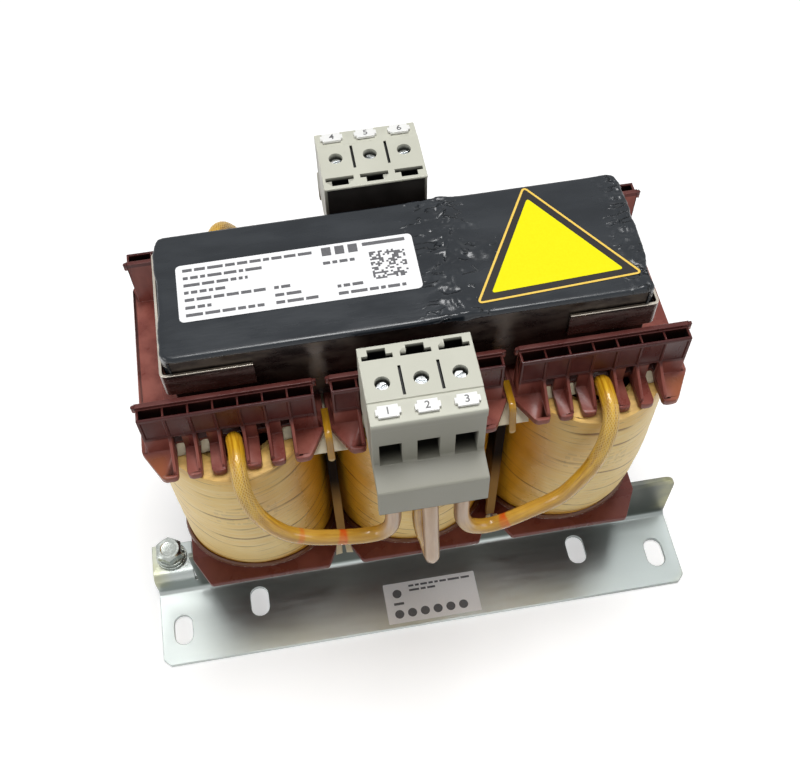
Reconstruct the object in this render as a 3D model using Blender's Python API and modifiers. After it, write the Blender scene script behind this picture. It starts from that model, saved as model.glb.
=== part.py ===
"""Three-phase line reactor on two foot brackets.

Three coils on comb-edged bobbins sit on the legs of an E-shaped stack of core
sheets. A straight yoke closes the stack across three air-gap spacers. The yoke
is taped and clipped at both ends. A three-pole terminal block is hooked into
the middle bobbin at the front and at the rear, and six sleeved leads rise to them.

Frame: +X along the core, -Y to the front, +Z up, origin under the middle of the
object on the plane that it is screwed to. All sizes are in metres.
"""
import math

import bmesh
import bpy
from mathutils import Matrix, Vector

# Clearance left between pieces that touch on the real object
FIT = 0.0003

# Core of punched sheets
LEG_WIDTH = 0.030
LEG_HEIGHT = 0.090
YOKE_HEIGHT = 0.030
COIL_PITCH = 0.060
STACK_DEPTH = 0.0475
AIR_GAP = 0.0072
CORE_LIFT = 0.002
SHEET_CORNER = 0.0004

# Moulded bobbin with a comb strip along its front and rear edge
TUBE_WALL = 0.0015
FLANGE_THICKNESS = 0.0026
FLANGE_GAP = 0.001
LOWER_FLANGE_REACH = 0.041
LOWER_FLANGE_FRONT = 0.0465
LOWER_FLANGE_SHOULDER = 0.029
BOBBIN_RISE = 0.004
STRIP_OFFSET = 0.00405
STRIP_DEPTH = 0.006
STRIP_LENGTH = 0.0548
STRIP_HEIGHT = 0.0193
STRIP_WALL = 0.001
STRIP_INNER_RIM = 0.0018
STRIP_OUTER_WALL = 0.0009
STRIP_DROP = 0.0012
POCKET_RIB = 0.0006
RIM_HEIGHT = 0.0015
PANEL_DEPTH = 0.0004
PANEL_SILL = 0.0006
LUG_REACH = 0.0012
LUG_HEIGHT = 0.0027
LUG_INSET = 0.00015
LUG_ROUND = 0.0006
SEAT_HALF_WIDTH = 0.0215
SEAT_HALF_DEPTH = 0.0265
SEAT_HEIGHT = 0.0012
FLANGE_ROUND = 0.0022
POCKET_COUNT = 7
POCKET_FLOOR = 0.0006
TONGUE_REACH = 0.0107
TONGUE_LAP = 0.0007
TONGUE_WIDTH = 0.0048
TONGUE_ROUND = 0.0014
END_TONGUE_SHOULDER = 0.0335
END_TONGUE_TIP = 0.0234
COMB_DEPTH = 0.013
WINDOW_HEIGHT = 0.007
GUSSET_TIP = 0.0014

# Coil under its paper wrap, narrow at the foot and fullest at mid-height
WRAP_THICKNESS = 0.0012
WRAP_STRAIGHT = 0.011
WRAP_FRONT_FOOT = 0.027
WRAP_FRONT_MIDDLE = 0.0415
WRAP_FRONT_TOP = 0.037
WRAP_LEVELS = 5
ARC_POINTS = 16

# Insulation between the coils
BARRIER_THICKNESS = 0.0008
BARRIER_REACH = 0.030
BEAD_WIDTH = 0.0032
BEAD_DEPTH = 0.002
BEAD_TOP = 0.112
LIP_WIDTH = 0.0118
LIP_THICKNESS = 0.0005
LIP_START = 0.0345
LIP_RUN = 0.0045
LIP_DROP = 0.005
BAND_WIDTH = 0.003
BAND_THICKNESS = 0.0008
BAND_START = 0.0235
BAND_FRONT = 0.0385
BAND_TIP_REACH = 0.042
BAND_TIP_DROP = 0.0105

# Foot brackets of folded sheet, with the earth shelf at the front left
BRACKET_LENGTH = 0.219
REAR_BRACKET_LENGTH = 0.166
BRACKET_SHEET = 0.002
FOOT_REACH = 0.03275
UPRIGHT_HEIGHT = 0.0313
BEND_RADIUS = 0.002
FOOT_CHAMFER = 0.003
UPRIGHT_CORNER = 0.005
SLOT_WIDTH = 0.0075
SLOT_LENGTH = 0.013
OUTER_SLOT_FROM_END = 0.009
OUTER_SLOT_Y = 0.044
REAR_SLOT_FROM_END = 0.015
INNER_SLOT_Y = 0.037
SHELF_HEIGHT = 0.014
SHELF_LENGTH = 0.0172
SHELF_REACH = 0.0162
SHELF_ROLL = 0.004
SHELF_RELIEF = 0.0008

# Earth bolt and what is stacked on it
BOLT_FROM_END = 0.0083
BOLT_FROM_FRONT = 0.010
BOLT_DIAMETER = 0.006
BOLT_HOLE = 0.0066
BOLT_LENGTH = 0.016
BOLT_HEAD_FLATS = 0.010
BOLT_HEAD_HEIGHT = 0.0042
WASHER_DIAMETER = 0.0125
WASHER_THICKNESS = 0.0014
SPRING_WASHER_DIAMETER = 0.0116
SPRING_WASHER_THICKNESS = 0.0016
SPRING_WASHER_CUT = 0.001
NUT_HEIGHT = 0.005

# Tape over the yoke, in two lengths that lap
TAPE_THICKNESS = 0.0005
TAPE_END_THICKNESS = 0.0012
TAPE_LIP = 0.0016
TAPE_END_DROP = 0.0135
TAPE_SEAM_X = 0.0144
TAPE_LAP = 0.006
TAPE_CORNER = 0.003

# Sprung clips round the two ends of the yoke
CLIP_SHEET = 0.001
CLIP_HEIGHT = 0.0098
CLIP_LEG = 0.0285
CLIP_BELOW_TOP = 0.0064
CLIP_BEND = 0.0018

# Terminal block, three poles side by side
POLE_PITCH = 0.01145
BLOCK_WIDTH = 0.0342
FRONT_BLOCK_X = -0.0014
REAR_BLOCK_X = -0.002
BLOCK_RISE = 0.017
BLOCK_INNER = 0.032
BLOCK_BACK_RECESS = 0.0009
BLOCK_STEP = 0.0516
BLOCK_LIP = 0.0589
BLOCK_LIP_DROP = 0.0052
BLOCK_STEP_DROP = 0.0006
BLOCK_FACE = 0.0582
APRON_CREST = 0.0678
APRON_TOP_DROP = 0.0262
APRON_SHELF_DROP = 0.0242
APRON_BOTTOM_DROP = 0.039
APRON_WALL = 0.0024
BLOCK_FOOT_DROP = 0.0286
SCREW_HOLE = 0.0047
SCREW_OUT = 0.0455
CHAMBER_WIDTH = 0.0069
CHAMBER_DEPTH = 0.0165
CHAMBER_TOP_DROP = 0.0136
CHAMBER_HEIGHT = 0.0106
PROBE_WIDE = 0.0093
PROBE_NARROW = 0.0055
PROBE_OUTER = 0.037
PROBE_STEP = 0.0354
PROBE_INNER = 0.0333
PROBE_DEPTH = 0.009
SLIT_WIDTH = 0.0009
SLIT_START = 0.0402
SLIT_END = 0.0505
SLIT_DEPTH = 0.004
CARRIER_THICKNESS = 0.0005
CARRIER_TAB_WIDTH = 0.0056
CARRIER_TAB_DROP = 0.009
TAG_WIDTH = 0.0075
TAG_DEPTH = 0.0039
TAG_THICKNESS = 0.0009
TAG_EAR = 0.0007
TAG_SHIFT = 0.0001
SCREW_HEAD = 0.0041
SCREW_HEAD_HEIGHT = 0.002
SCREW_SINK = 0.0019
SCREW_SHANK = 0.0028
SCREW_DRIVE = 0.0009
CAGE_WIDTH = 0.0062
CAGE_DEPTH = 0.0068
CAGE_WALL = 0.0009
CAGE_SCREW_HOLE = 0.0036

# Sleeved leads
LEAD_DIAMETER = 0.0054
LEAD_STEP = 0.005

# Heights and reaches that follow from the sizes above
CORE_LENGTH = 2 * COIL_PITCH + LEG_WIDTH
HALF_STACK = STACK_DEPTH / 2
LOW_YOKE_TOP = CORE_LIFT + YOKE_HEIGHT
LEG_TOP = LOW_YOKE_TOP + LEG_HEIGHT
YOKE_BOTTOM = LEG_TOP + AIR_GAP
YOKE_TOP = YOKE_BOTTOM + YOKE_HEIGHT
FLANGE_HALF_WIDTH = (COIL_PITCH - FLANGE_GAP) / 2
BOBBIN_BOTTOM = LOW_YOKE_TOP + FIT
BOBBIN_TOP = LEG_TOP + BOBBIN_RISE
TUBE_HALF_X = LEG_WIDTH / 2 + FIT
TUBE_HALF_Y = HALF_STACK + FIT
STRIP_INNER = HALF_STACK + STRIP_OFFSET
STRIP_OUTER = STRIP_INNER + STRIP_DEPTH
STRIP_TOP = BOBBIN_TOP + STRIP_HEIGHT
STRIP_RIM = STRIP_TOP - STRIP_DROP
STRIP_FOOT = BOBBIN_TOP + WINDOW_HEIGHT
TONGUE_TIP = STRIP_OUTER + TONGUE_REACH
POCKET_PITCH = (STRIP_LENGTH - STRIP_WALL) / POCKET_COUNT
WINDING_BOTTOM = BOBBIN_BOTTOM + FLANGE_THICKNESS + FIT
WINDING_TOP = BOBBIN_TOP - FLANGE_THICKNESS - FIT
WRAP_HALF_WIDTH = (COIL_PITCH - BARRIER_THICKNESS) / 2 - FIT
BRACKET_INNER = HALF_STACK + FIT
BRACKET_FACE = BRACKET_INNER + BRACKET_SHEET
FOOT_EDGE = BRACKET_FACE + FOOT_REACH
SHELF_BACK = BRACKET_FACE - SHELF_REACH
OUTER_SLOT_X = BRACKET_LENGTH / 2 - OUTER_SLOT_FROM_END
INNER_SLOT_X = REAR_BRACKET_LENGTH / 2 - REAR_SLOT_FROM_END
BLOCK_TOP = STRIP_TOP + FIT + BLOCK_RISE
BLOCK_LEDGE = STRIP_RIM + FIT
BLOCK_BACK = BLOCK_INNER + BLOCK_BACK_RECESS
TAPE_TOP = YOKE_TOP + FIT + TAPE_THICKNESS

COIL_X = {"left": -COIL_PITCH, "middle": 0.0, "right": COIL_PITCH}

# Leads as chosen points: from the coil, under the comb strip, out and down the
# front of the coil, then up into the terminal block
LEAD_ROUTES = {
    "front_left": [
        (-0.0600, -0.0346, 0.1238), (-0.0600, -0.0347, 0.1272), (-0.0596, -0.0372, 0.1306),
        (-0.0592, -0.0420, 0.1320), (-0.0593, -0.0470, 0.1316), (-0.0592, -0.0510, 0.1284),
        (-0.0586, -0.0538, 0.1235), (-0.0572, -0.0554, 0.1176), (-0.0550, -0.0564, 0.1118),
        (-0.0516, -0.0570, 0.1054), (-0.0475, -0.0570, 0.0995), (-0.0405, -0.0570, 0.0946),
        (-0.0332, -0.0570, 0.0919), (-0.0258, -0.0570, 0.0899), (-0.0198, -0.0571, 0.0897),
        (-0.0160, -0.0576, 0.0920), (-0.0138, -0.0582, 0.0966), (-0.01285, -0.0585, 0.1045),
        (-0.01285, -0.0585, 0.1180), (-0.01285, -0.0585, 0.1337)],
    "front_middle": [
        (0.0000, -0.0346, 0.1238), (0.0000, -0.0347, 0.1272), (-0.0001, -0.0375, 0.1298),
        (-0.0004, -0.0425, 0.1306), (-0.0009, -0.0475, 0.1296), (-0.0016, -0.0520, 0.1256),
        (-0.0024, -0.0550, 0.1180), (-0.0032, -0.0560, 0.1080), (-0.0035, -0.0560, 0.0950),
        (-0.0026, -0.0560, 0.0840), (-0.0013, -0.0560, 0.0766), (-0.0008, -0.0569, 0.0744),
        (-0.0005, -0.0591, 0.0735), (-0.0003, -0.0613, 0.0744), (-0.0003, -0.0622, 0.0766),
        (-0.0007, -0.0622, 0.0900), (-0.0011, -0.0621, 0.1050), (-0.0013, -0.0612, 0.1160),
        (-0.0014, -0.0594, 0.1265), (-0.0014, -0.0592, 0.1337)],
    "front_right": [
        (0.0600, -0.0346, 0.1238), (0.0600, -0.0347, 0.1272), (0.0597, -0.0372, 0.1307),
        (0.0592, -0.0425, 0.1325), (0.0592, -0.0472, 0.1313), (0.0586, -0.0512, 0.1280),
        (0.0572, -0.0538, 0.1229), (0.0553, -0.0554, 0.1172), (0.0530, -0.0565, 0.1115),
        (0.0497, -0.0570, 0.1045), (0.0456, -0.0570, 0.0967), (0.0402, -0.0570, 0.0919),
        (0.0346, -0.0570, 0.0884), (0.0296, -0.0570, 0.0852), (0.0247, -0.0570, 0.0828),
        (0.0209, -0.0570, 0.0820), (0.0172, -0.0574, 0.0832), (0.0133, -0.0580, 0.0868),
        (0.0110, -0.0584, 0.0928), (0.01005, -0.0585, 0.1000), (0.01005, -0.0585, 0.1180),
        (0.01005, -0.0585, 0.1337)],
    "rear_left": [
        (-0.0600, 0.0346, 0.1238), (-0.0600, 0.0347, 0.1272), (-0.0598, 0.0372, 0.1308),
        (-0.0590, 0.0415, 0.1356), (-0.0573, 0.0462, 0.1372), (-0.0548, 0.0500, 0.1345),
        (-0.0525, 0.0530, 0.1280), (-0.0505, 0.0554, 0.1200), (-0.0485, 0.0566, 0.1120),
        (-0.0455, 0.0570, 0.1050), (-0.0410, 0.0570, 0.0985), (-0.0350, 0.0570, 0.0940),
        (-0.0290, 0.0570, 0.0915), (-0.0240, 0.0570, 0.0905), (-0.0195, 0.0572, 0.0912),
        (-0.0160, 0.0577, 0.0945), (-0.0141, 0.0583, 0.1010), (-0.01345, 0.0585, 0.1100),
        (-0.01345, 0.0585, 0.1220), (-0.01345, 0.0585, 0.1337)],
    "rear_middle": [
        (0.0000, 0.0346, 0.1238), (0.0000, 0.0347, 0.1272), (-0.0002, 0.0375, 0.1298),
        (-0.0006, 0.0425, 0.1306), (-0.0012, 0.0475, 0.1296), (-0.0018, 0.0520, 0.1256),
        (-0.0024, 0.0550, 0.1180), (-0.0030, 0.0560, 0.1080), (-0.0032, 0.0560, 0.0950),
        (-0.0028, 0.0560, 0.0840), (-0.0022, 0.0560, 0.0766), (-0.0020, 0.0569, 0.0744),
        (-0.0018, 0.0591, 0.0735), (-0.0017, 0.0613, 0.0744), (-0.0017, 0.0622, 0.0766),
        (-0.0018, 0.0622, 0.0900), (-0.0020, 0.0621, 0.1050), (-0.0020, 0.0612, 0.1160),
        (-0.0020, 0.0594, 0.1265), (-0.0020, 0.0592, 0.1337)],
    "rear_right": [
        (0.0600, 0.0346, 0.1238), (0.0600, 0.0347, 0.1272), (0.0597, 0.0372, 0.1307),
        (0.0592, 0.0425, 0.1325), (0.0590, 0.0472, 0.1313), (0.0583, 0.0512, 0.1280),
        (0.0569, 0.0538, 0.1229), (0.0549, 0.0554, 0.1172), (0.0525, 0.0565, 0.1115),
        (0.0490, 0.0570, 0.1045), (0.0448, 0.0570, 0.0967), (0.0394, 0.0570, 0.0919),
        (0.0338, 0.0570, 0.0884), (0.0288, 0.0570, 0.0852), (0.0240, 0.0570, 0.0828),
        (0.0202, 0.0570, 0.0820), (0.0165, 0.0574, 0.0832), (0.0126, 0.0580, 0.0868),
        (0.0103, 0.0584, 0.0928), (0.00945, 0.0585, 0.1000), (0.00945, 0.0585, 0.1180),
        (0.00945, 0.0585, 0.1337)],
}

# Outlines are drawn in a piece's own XY plane and stood up with these turns
PLAN = Matrix.Identity(4)
PROFILE = Matrix(((0, 0, 1, 0), (1, 0, 0, 0), (0, 1, 0, 0), (0, 0, 0, 1)))
ELEVATION = Matrix(((1, 0, 0, 0), (0, 0, -1, 0), (0, 1, 0, 0), (0, 0, 0, 1)))
HALF_TURN = Matrix.Rotation(math.pi, 4, "Z")


def clear_scene():
    """Remove every object that the scene starts with."""
    for item in list(bpy.data.objects):
        bpy.data.objects.remove(item, do_unlink=True)


def new_collection(name):
    """Make a collection in the scene."""
    collection = bpy.data.collections.new(name)
    bpy.context.scene.collection.children.link(collection)
    return collection


def new_material(name, color, roughness, metallic=0.0):
    """Make a Principled material."""
    material = bpy.data.materials.new(name)
    material.use_nodes = True
    shader = material.node_tree.nodes["Principled BSDF"]
    shader.inputs["Base Color"].default_value = (*color, 1.0)
    shader.inputs["Roughness"].default_value = roughness
    shader.inputs["Metallic"].default_value = metallic
    material.diffuse_color = (*color, 1.0)
    return material


def new_object(name, mesh, collection, matrix=None):
    """Put a mesh in the scene as an object."""
    item = bpy.data.objects.new(name, mesh)
    collection.objects.link(item)
    if matrix is not None:
        item.matrix_world = matrix
    return item


def box_object(name, low, high, collection):
    """Box between two corners, with its origin at its centre."""
    low = Vector(low)
    high = Vector(high)
    shape = bmesh.new()
    bmesh.ops.create_cube(shape, size=1.0, matrix=Matrix.Diagonal((*(high - low), 1.0)))
    mesh = bpy.data.meshes.new(name)
    shape.to_mesh(mesh)
    shape.free()
    return new_object(name, mesh, collection, Matrix.Translation((low + high) / 2))


def rounded(corners, steps=4):
    """Outline from corners (x, y, radius), each turned with a short arc."""
    points = []
    for index, (x, y, radius) in enumerate(corners):
        corner = Vector((x, y))
        if radius <= 0:
            points.append(tuple(corner))
            continue
        before = Vector(corners[index - 1][:2]) - corner
        after = Vector(corners[(index + 1) % len(corners)][:2]) - corner
        half = before.angle(after) / 2
        run = radius / math.tan(half)
        centre = corner + (before.normalized() + after.normalized()).normalized() * (
            radius / math.sin(half))
        start = corner + before.normalized() * run - centre
        end = corner + after.normalized() * run - centre
        turn = start.angle_signed(end)
        for step in range(steps + 1):
            arm = start.copy()
            arm.rotate(Matrix.Rotation(-turn * step / steps, 2))
            points.append(tuple(centre + arm))
    return points


def extruded(name, outlines, thickness, collection, matrix):
    """Flat outlines as a filled 2D curve of the given thickness, made a mesh."""
    curve = bpy.data.curves.new(name, "CURVE")
    curve.dimensions = "2D"
    curve.fill_mode = "BOTH"
    curve.extrude = thickness / 2
    for outline in outlines:
        spline = curve.splines.new("POLY")
        spline.points.add(len(outline) - 1)
        for point, (x, y) in zip(spline.points, outline):
            point.co = (x, y, 0.0, 1.0)
        spline.use_cyclic_u = True
    drawn = new_object(name + "_outline", curve, collection)
    mesh = evaluated_mesh(drawn, name)
    bpy.data.objects.remove(drawn, do_unlink=True)
    return new_object(name, mesh, collection, matrix)


def evaluated_mesh(item, name):
    """Mesh of an object with its modifiers applied and its seams welded."""
    bpy.context.view_layer.update()
    graph = bpy.context.evaluated_depsgraph_get()
    mesh = bpy.data.meshes.new_from_object(item.evaluated_get(graph), depsgraph=graph)
    mesh.name = name
    shape = bmesh.new()
    shape.from_mesh(mesh)
    bmesh.ops.remove_doubles(shape, verts=shape.verts, dist=0.000002)
    bmesh.ops.recalc_face_normals(shape, faces=shape.faces)
    shape.to_mesh(mesh)
    shape.free()
    return mesh


def turned(name, profile, steps, collection, matrix):
    """Solid of revolution about Z from a profile (radius, height), top to bottom."""
    mesh = bpy.data.meshes.new(name)
    points = [(radius, 0.0, height) for radius, height in profile]
    edges = [(index, index + 1) for index in range(len(points) - 1)]
    mesh.from_pydata(points, edges, [])
    item = new_object(name, mesh, collection, matrix)
    screw = item.modifiers.new("Turn", "SCREW")
    screw.axis = "Z"
    screw.angle = 2 * math.pi
    screw.steps = steps
    screw.render_steps = steps
    screw.use_merge_vertices = True
    screw.merge_threshold = 0.00001
    screw.use_smooth_shade = False
    return item


def ring_turned(name, profile, steps, collection, matrix):
    """Ring of revolution, whose profile closes on itself."""
    item = turned(name, profile + profile[:1], steps, collection, matrix)
    weld = item.modifiers.new("Close", "WELD")
    weld.merge_threshold = 0.00001
    return item


def hide_cutter(cutter):
    """Mark an object as a tool and not a part."""
    cutter.hide_render = True
    cutter.display_type = "WIRE"


def combine(item, tool, operation):
    """Cut or join an object with a tool through a Boolean modifier."""
    hide_cutter(tool)
    modifier = item.modifiers.new(tool.name, "BOOLEAN")
    modifier.operation = operation
    modifier.solver = "EXACT"
    modifier.object = tool


def finished(item, tools, name):
    """Apply an object's modifiers and its place, and remove it and its tools."""
    mesh = evaluated_mesh(item, name)
    mesh.transform(item.matrix_world)
    for used in [item] + tools:
        bpy.data.objects.remove(used, do_unlink=True)
    return mesh


def smooth_by_angle(item, degrees=40.0):
    """Shade round faces smooth and keep the corners sharp."""
    item.data.shade_smooth()
    item.data.set_sharp_from_angle(angle=math.radians(degrees))


def build_core(parts, steel):
    """E-shaped stack with its three legs, and the straight yoke that closes it."""
    half = CORE_LENGTH / 2
    slots = COIL_PITCH - LEG_WIDTH
    outline = [(-half, CORE_LIFT), (half, CORE_LIFT), (half, LEG_TOP)]
    for side in (COIL_PITCH, 0.0):
        outline.append((side - LEG_WIDTH / 2, LEG_TOP))
        outline.append((side - LEG_WIDTH / 2, LOW_YOKE_TOP))
        outline.append((side - LEG_WIDTH / 2 - slots, LOW_YOKE_TOP))
        outline.append((side - LEG_WIDTH / 2 - slots, LEG_TOP))
    outline.append((-half, LEG_TOP))
    stack = extruded("core_e_stack", [outline], STACK_DEPTH, parts, ELEVATION)
    stack.data.materials.append(steel)
    yoke = box_object("core_top_yoke", (-half, -HALF_STACK, YOKE_BOTTOM),
                      (half, HALF_STACK, YOKE_TOP), parts)
    edges = yoke.modifiers.new("Edges", "BEVEL")
    edges.width = SHEET_CORNER
    edges.segments = 1
    yoke.data.materials.append(steel)


def build_gap_spacers(parts, board):
    """Board spacers between the legs and the top yoke."""
    for side, x in COIL_X.items():
        spacer = box_object(
            "gap_spacer_" + side,
            (x - LEG_WIDTH / 2, -HALF_STACK, LEG_TOP + FIT),
            (x + LEG_WIDTH / 2, HALF_STACK, YOKE_BOTTOM - FIT), parts)
        spacer.data.materials.append(board)


def rib_places():
    """Distances of the pocket ribs from the middle of a bobbin, one side."""
    return [POCKET_PITCH * (step + 0.5) for step in range(POCKET_COUNT // 2)]


def tongue_edges():
    """Inner and outer edge of each tongue, one side, from the middle outwards."""
    starts = [rib - TONGUE_LAP for rib in rib_places()]
    ends = [start + TONGUE_WIDTH for start in starts[:-1]] + [None]
    return list(zip(starts, ends))


def comb_slots():
    """Lowest and highest X of each slot between the tongues."""
    edges = tongue_edges()
    slots = [(-edges[0][0], edges[0][0])]
    for inner, outer in zip(edges[:-1], edges[1:]):
        slots.append((inner[1], outer[0]))
        slots.append((-outer[0], -inner[1]))
    return slots


def slot_outline(low, high, side):
    """Slot between two tongues, flared at its mouth to round the tongue tips."""
    back = TONGUE_TIP - COMB_DEPTH
    flare = TONGUE_ROUND
    points = [(low, back)]
    for step in range(3):
        angle = step / 2 * math.pi / 2
        points.append((low - flare * (1 - math.cos(angle)),
                       TONGUE_TIP - flare * (1 - math.sin(angle))))
    points.append((low - flare, TONGUE_TIP + flare))
    points.append((high + flare, TONGUE_TIP + flare))
    for step in range(2, -1, -1):
        angle = step / 2 * math.pi / 2
        points.append((high + flare * (1 - math.cos(angle)),
                       TONGUE_TIP - flare * (1 - math.sin(angle))))
    points.append((high, back))
    return [(x, side * y) for x, y in points]


def flange_outline(shoulder, tip_width, reach, soft):
    """Flange outline with eight softened corners."""
    corners = []
    for sign_x, sign_y in ((1, 1), (-1, 1), (-1, -1), (1, -1)):
        quarter = [(sign_x * FLANGE_HALF_WIDTH, sign_y * shoulder, soft),
                   (sign_x * tip_width, sign_y * reach, soft)]
        corners += quarter if sign_x == sign_y else quarter[::-1]
    return rounded(corners, 3)


def bobbin_mesh(scratch):
    """One bobbin about the axis of its leg: tube, two flanges, two comb strips."""
    half_x = TUBE_HALF_X + TUBE_WALL
    half_y = TUBE_HALF_Y + TUBE_WALL
    section = rounded([(half_x, half_y, TUBE_WALL), (-half_x, half_y, TUBE_WALL),
                       (-half_x, -half_y, TUBE_WALL), (half_x, -half_y, TUBE_WALL)], 3)
    tube = extruded("bobbin", [section], BOBBIN_TOP - BOBBIN_BOTTOM, scratch,
                    Matrix.Translation((0, 0, (BOBBIN_TOP + BOBBIN_BOTTOM) / 2)))
    tools = []

    def use(tool, operation):
        tools.append(tool)
        combine(tube, tool, operation)

    lower = flange_outline(LOWER_FLANGE_SHOULDER, LOWER_FLANGE_FRONT / 2, LOWER_FLANGE_REACH, TONGUE_ROUND)
    upper = flange_outline(END_TONGUE_SHOULDER, END_TONGUE_TIP, TONGUE_TIP, FLANGE_ROUND)
    middle = FLANGE_THICKNESS / 2
    use(extruded("lower_flange", [lower], FLANGE_THICKNESS, scratch,
                 Matrix.Translation((0, 0, BOBBIN_BOTTOM + middle)) @ PLAN), "UNION")
    use(extruded("upper_flange", [upper], FLANGE_THICKNESS, scratch,
                 Matrix.Translation((0, 0, BOBBIN_TOP - middle)) @ PLAN), "UNION")
    use(box_object("seat", (-SEAT_HALF_WIDTH, -SEAT_HALF_DEPTH, BOBBIN_TOP - middle),
                   (SEAT_HALF_WIDTH, SEAT_HALF_DEPTH, BOBBIN_TOP + SEAT_HEIGHT), scratch), "UNION")
    for side in (-1, 1):
        use(strip_body(side, scratch), "UNION")
        use(strip_lugs(side, scratch), "UNION")
    use(box_object("leg_hole", (-TUBE_HALF_X, -TUBE_HALF_Y, BOBBIN_BOTTOM - TUBE_WALL),
                   (TUBE_HALF_X, TUBE_HALF_Y, BOBBIN_TOP + TUBE_WALL), scratch), "DIFFERENCE")
    use(pocket_cutter(scratch), "DIFFERENCE")
    use(panel_cutter(scratch), "DIFFERENCE")
    windows = extruded("comb", [slot_outline(low, high, side)
                                for side in (-1, 1) for low, high in comb_slots()],
                       STRIP_FOOT - BOBBIN_TOP + 2 * FLANGE_THICKNESS, scratch,
                       Matrix.Translation((0, 0, (STRIP_FOOT + BOBBIN_TOP) / 2 - FLANGE_THICKNESS)))
    use(windows, "DIFFERENCE")
    for side in (-1, 1):
        for place in rib_places():
            for x in (-place, place):
                use(gusset(x, side, scratch), "UNION")
    return finished(tube, tools, "bobbin")


def strip_body(side, scratch):
    """Comb strip as one bar, whose inner rim stands higher than the rest."""
    low = BOBBIN_TOP - FLANGE_THICKNESS / 4
    step = STRIP_INNER + STRIP_INNER_RIM - LUG_INSET
    outline = [(STRIP_INNER, low), (STRIP_OUTER, low), (STRIP_OUTER, STRIP_RIM), (step, STRIP_RIM),
               (step, STRIP_TOP), (STRIP_INNER, STRIP_TOP)]
    return extruded("strip", [[(side * y, z) for y, z in outline]], STRIP_LENGTH, scratch, PROFILE)


def strip_lugs(side, scratch):
    """Round-ended bar along the inner rim, which sticks out at both ends."""
    end = STRIP_LENGTH / 2 + LUG_REACH
    near = side * (STRIP_INNER + LUG_INSET)
    far = side * (STRIP_INNER + STRIP_INNER_RIM - 2 * LUG_INSET)
    outline = rounded([(-end, near, LUG_ROUND), (end, near, LUG_ROUND),
                       (end, far, LUG_ROUND), (-end, far, LUG_ROUND)], 3)
    return extruded("lugs", [outline], LUG_HEIGHT, scratch,
                    Matrix.Translation((0, 0, STRIP_TOP - LUG_INSET - LUG_HEIGHT / 2)))


def cells(rib, inner, outer):
    """One box outline for each pocket of both comb strips, with ribs left between them."""
    half = (POCKET_PITCH - rib) / 2
    outlines = []
    for side in (-1, 1):
        for index in range(POCKET_COUNT):
            x = (index - (POCKET_COUNT - 1) / 2) * POCKET_PITCH
            outlines.append([(x - half, side * inner), (x + half, side * inner),
                             (x + half, side * outer), (x - half, side * outer)])
    return outlines


def pocket_cutter(scratch):
    """Pockets of both comb strips."""
    floor = BOBBIN_TOP + POCKET_FLOOR
    height = 2 * (STRIP_TOP - floor)
    outlines = cells(POCKET_RIB, STRIP_INNER + STRIP_INNER_RIM, STRIP_OUTER - STRIP_OUTER_WALL)
    return extruded("pockets", outlines, height, scratch, Matrix.Translation((0, 0, floor + height / 2)))


def panel_cutter(scratch):
    """Shallow panels between the ribs on the outer walls of both comb strips."""
    low = STRIP_FOOT + PANEL_SILL
    high = STRIP_RIM - RIM_HEIGHT
    outlines = cells(STRIP_WALL, STRIP_OUTER - PANEL_DEPTH, STRIP_OUTER + PANEL_DEPTH)
    return extruded("panels", outlines, high - low, scratch, Matrix.Translation((0, 0, (high + low) / 2)))


def gusset(x, side, scratch):
    """Sloping web from the foot of the comb strip out along a tongue."""
    root = STRIP_OUTER - STRIP_WALL / 2
    tip = TONGUE_TIP - TONGUE_ROUND
    low = BOBBIN_TOP - FLANGE_THICKNESS / 4
    outline = [(side * root, low), (side * tip, low), (side * tip, BOBBIN_TOP + GUSSET_TIP),
               (side * STRIP_OUTER, STRIP_FOOT), (side * root, STRIP_FOOT + STRIP_WALL)]
    return extruded("gusset", [outline], STRIP_WALL * 0.98, scratch,
                    Matrix.Translation((x, 0, 0)) @ PROFILE)


def build_bobbins(parts, scratch, plastic):
    """Three bobbins that share one mesh."""
    mesh = bobbin_mesh(scratch)
    mesh.materials.append(plastic)
    for side, x in COIL_X.items():
        smooth_by_angle(new_object("bobbin_" + side, mesh, parts, Matrix.Translation((x, 0, 0))), 30)


def wrap_front(height):
    """Depth of the rounded front of the wrap at a height, fullest at mid-height."""
    share = (height - WINDING_BOTTOM) / (WINDING_TOP - WINDING_BOTTOM)
    return (WRAP_FRONT_FOOT * (1 - share) * (1 - 2 * share)
            + WRAP_FRONT_MIDDLE * 4 * share * (1 - share)
            + WRAP_FRONT_TOP * share * (2 * share - 1))


def coil_outline(inset, height):
    """Coil outline at a height: straight flanks and elliptical ends."""
    points = []
    for side in (-1, 1):
        for step in range(ARC_POINTS):
            angle = math.pi * step / (ARC_POINTS - 1)
            points.append((-side * (WRAP_HALF_WIDTH - inset) * math.cos(angle),
                           side * (WRAP_STRAIGHT + (wrap_front(height) - inset) * math.sin(angle)),
                           height))
    return points


def tube_outline(clearance, corner, height):
    """Rounded rectangle round the bobbin's tube with as many points as a coil outline."""
    half_x = TUBE_HALF_X + TUBE_WALL + clearance
    half_y = TUBE_HALF_Y + TUBE_WALL + clearance
    points = []
    steps = ARC_POINTS // 2
    for turn, (sign_x, sign_y) in enumerate(((1, -1), (-1, -1), (-1, 1), (1, 1))):
        for step in range(steps):
            angle = -math.pi / 2 * (turn + step / (steps - 1))
            points.append((sign_x * (half_x - corner) + corner * math.cos(angle),
                           sign_y * (half_y - corner) + corner * math.sin(angle), height))
    return points


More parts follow.
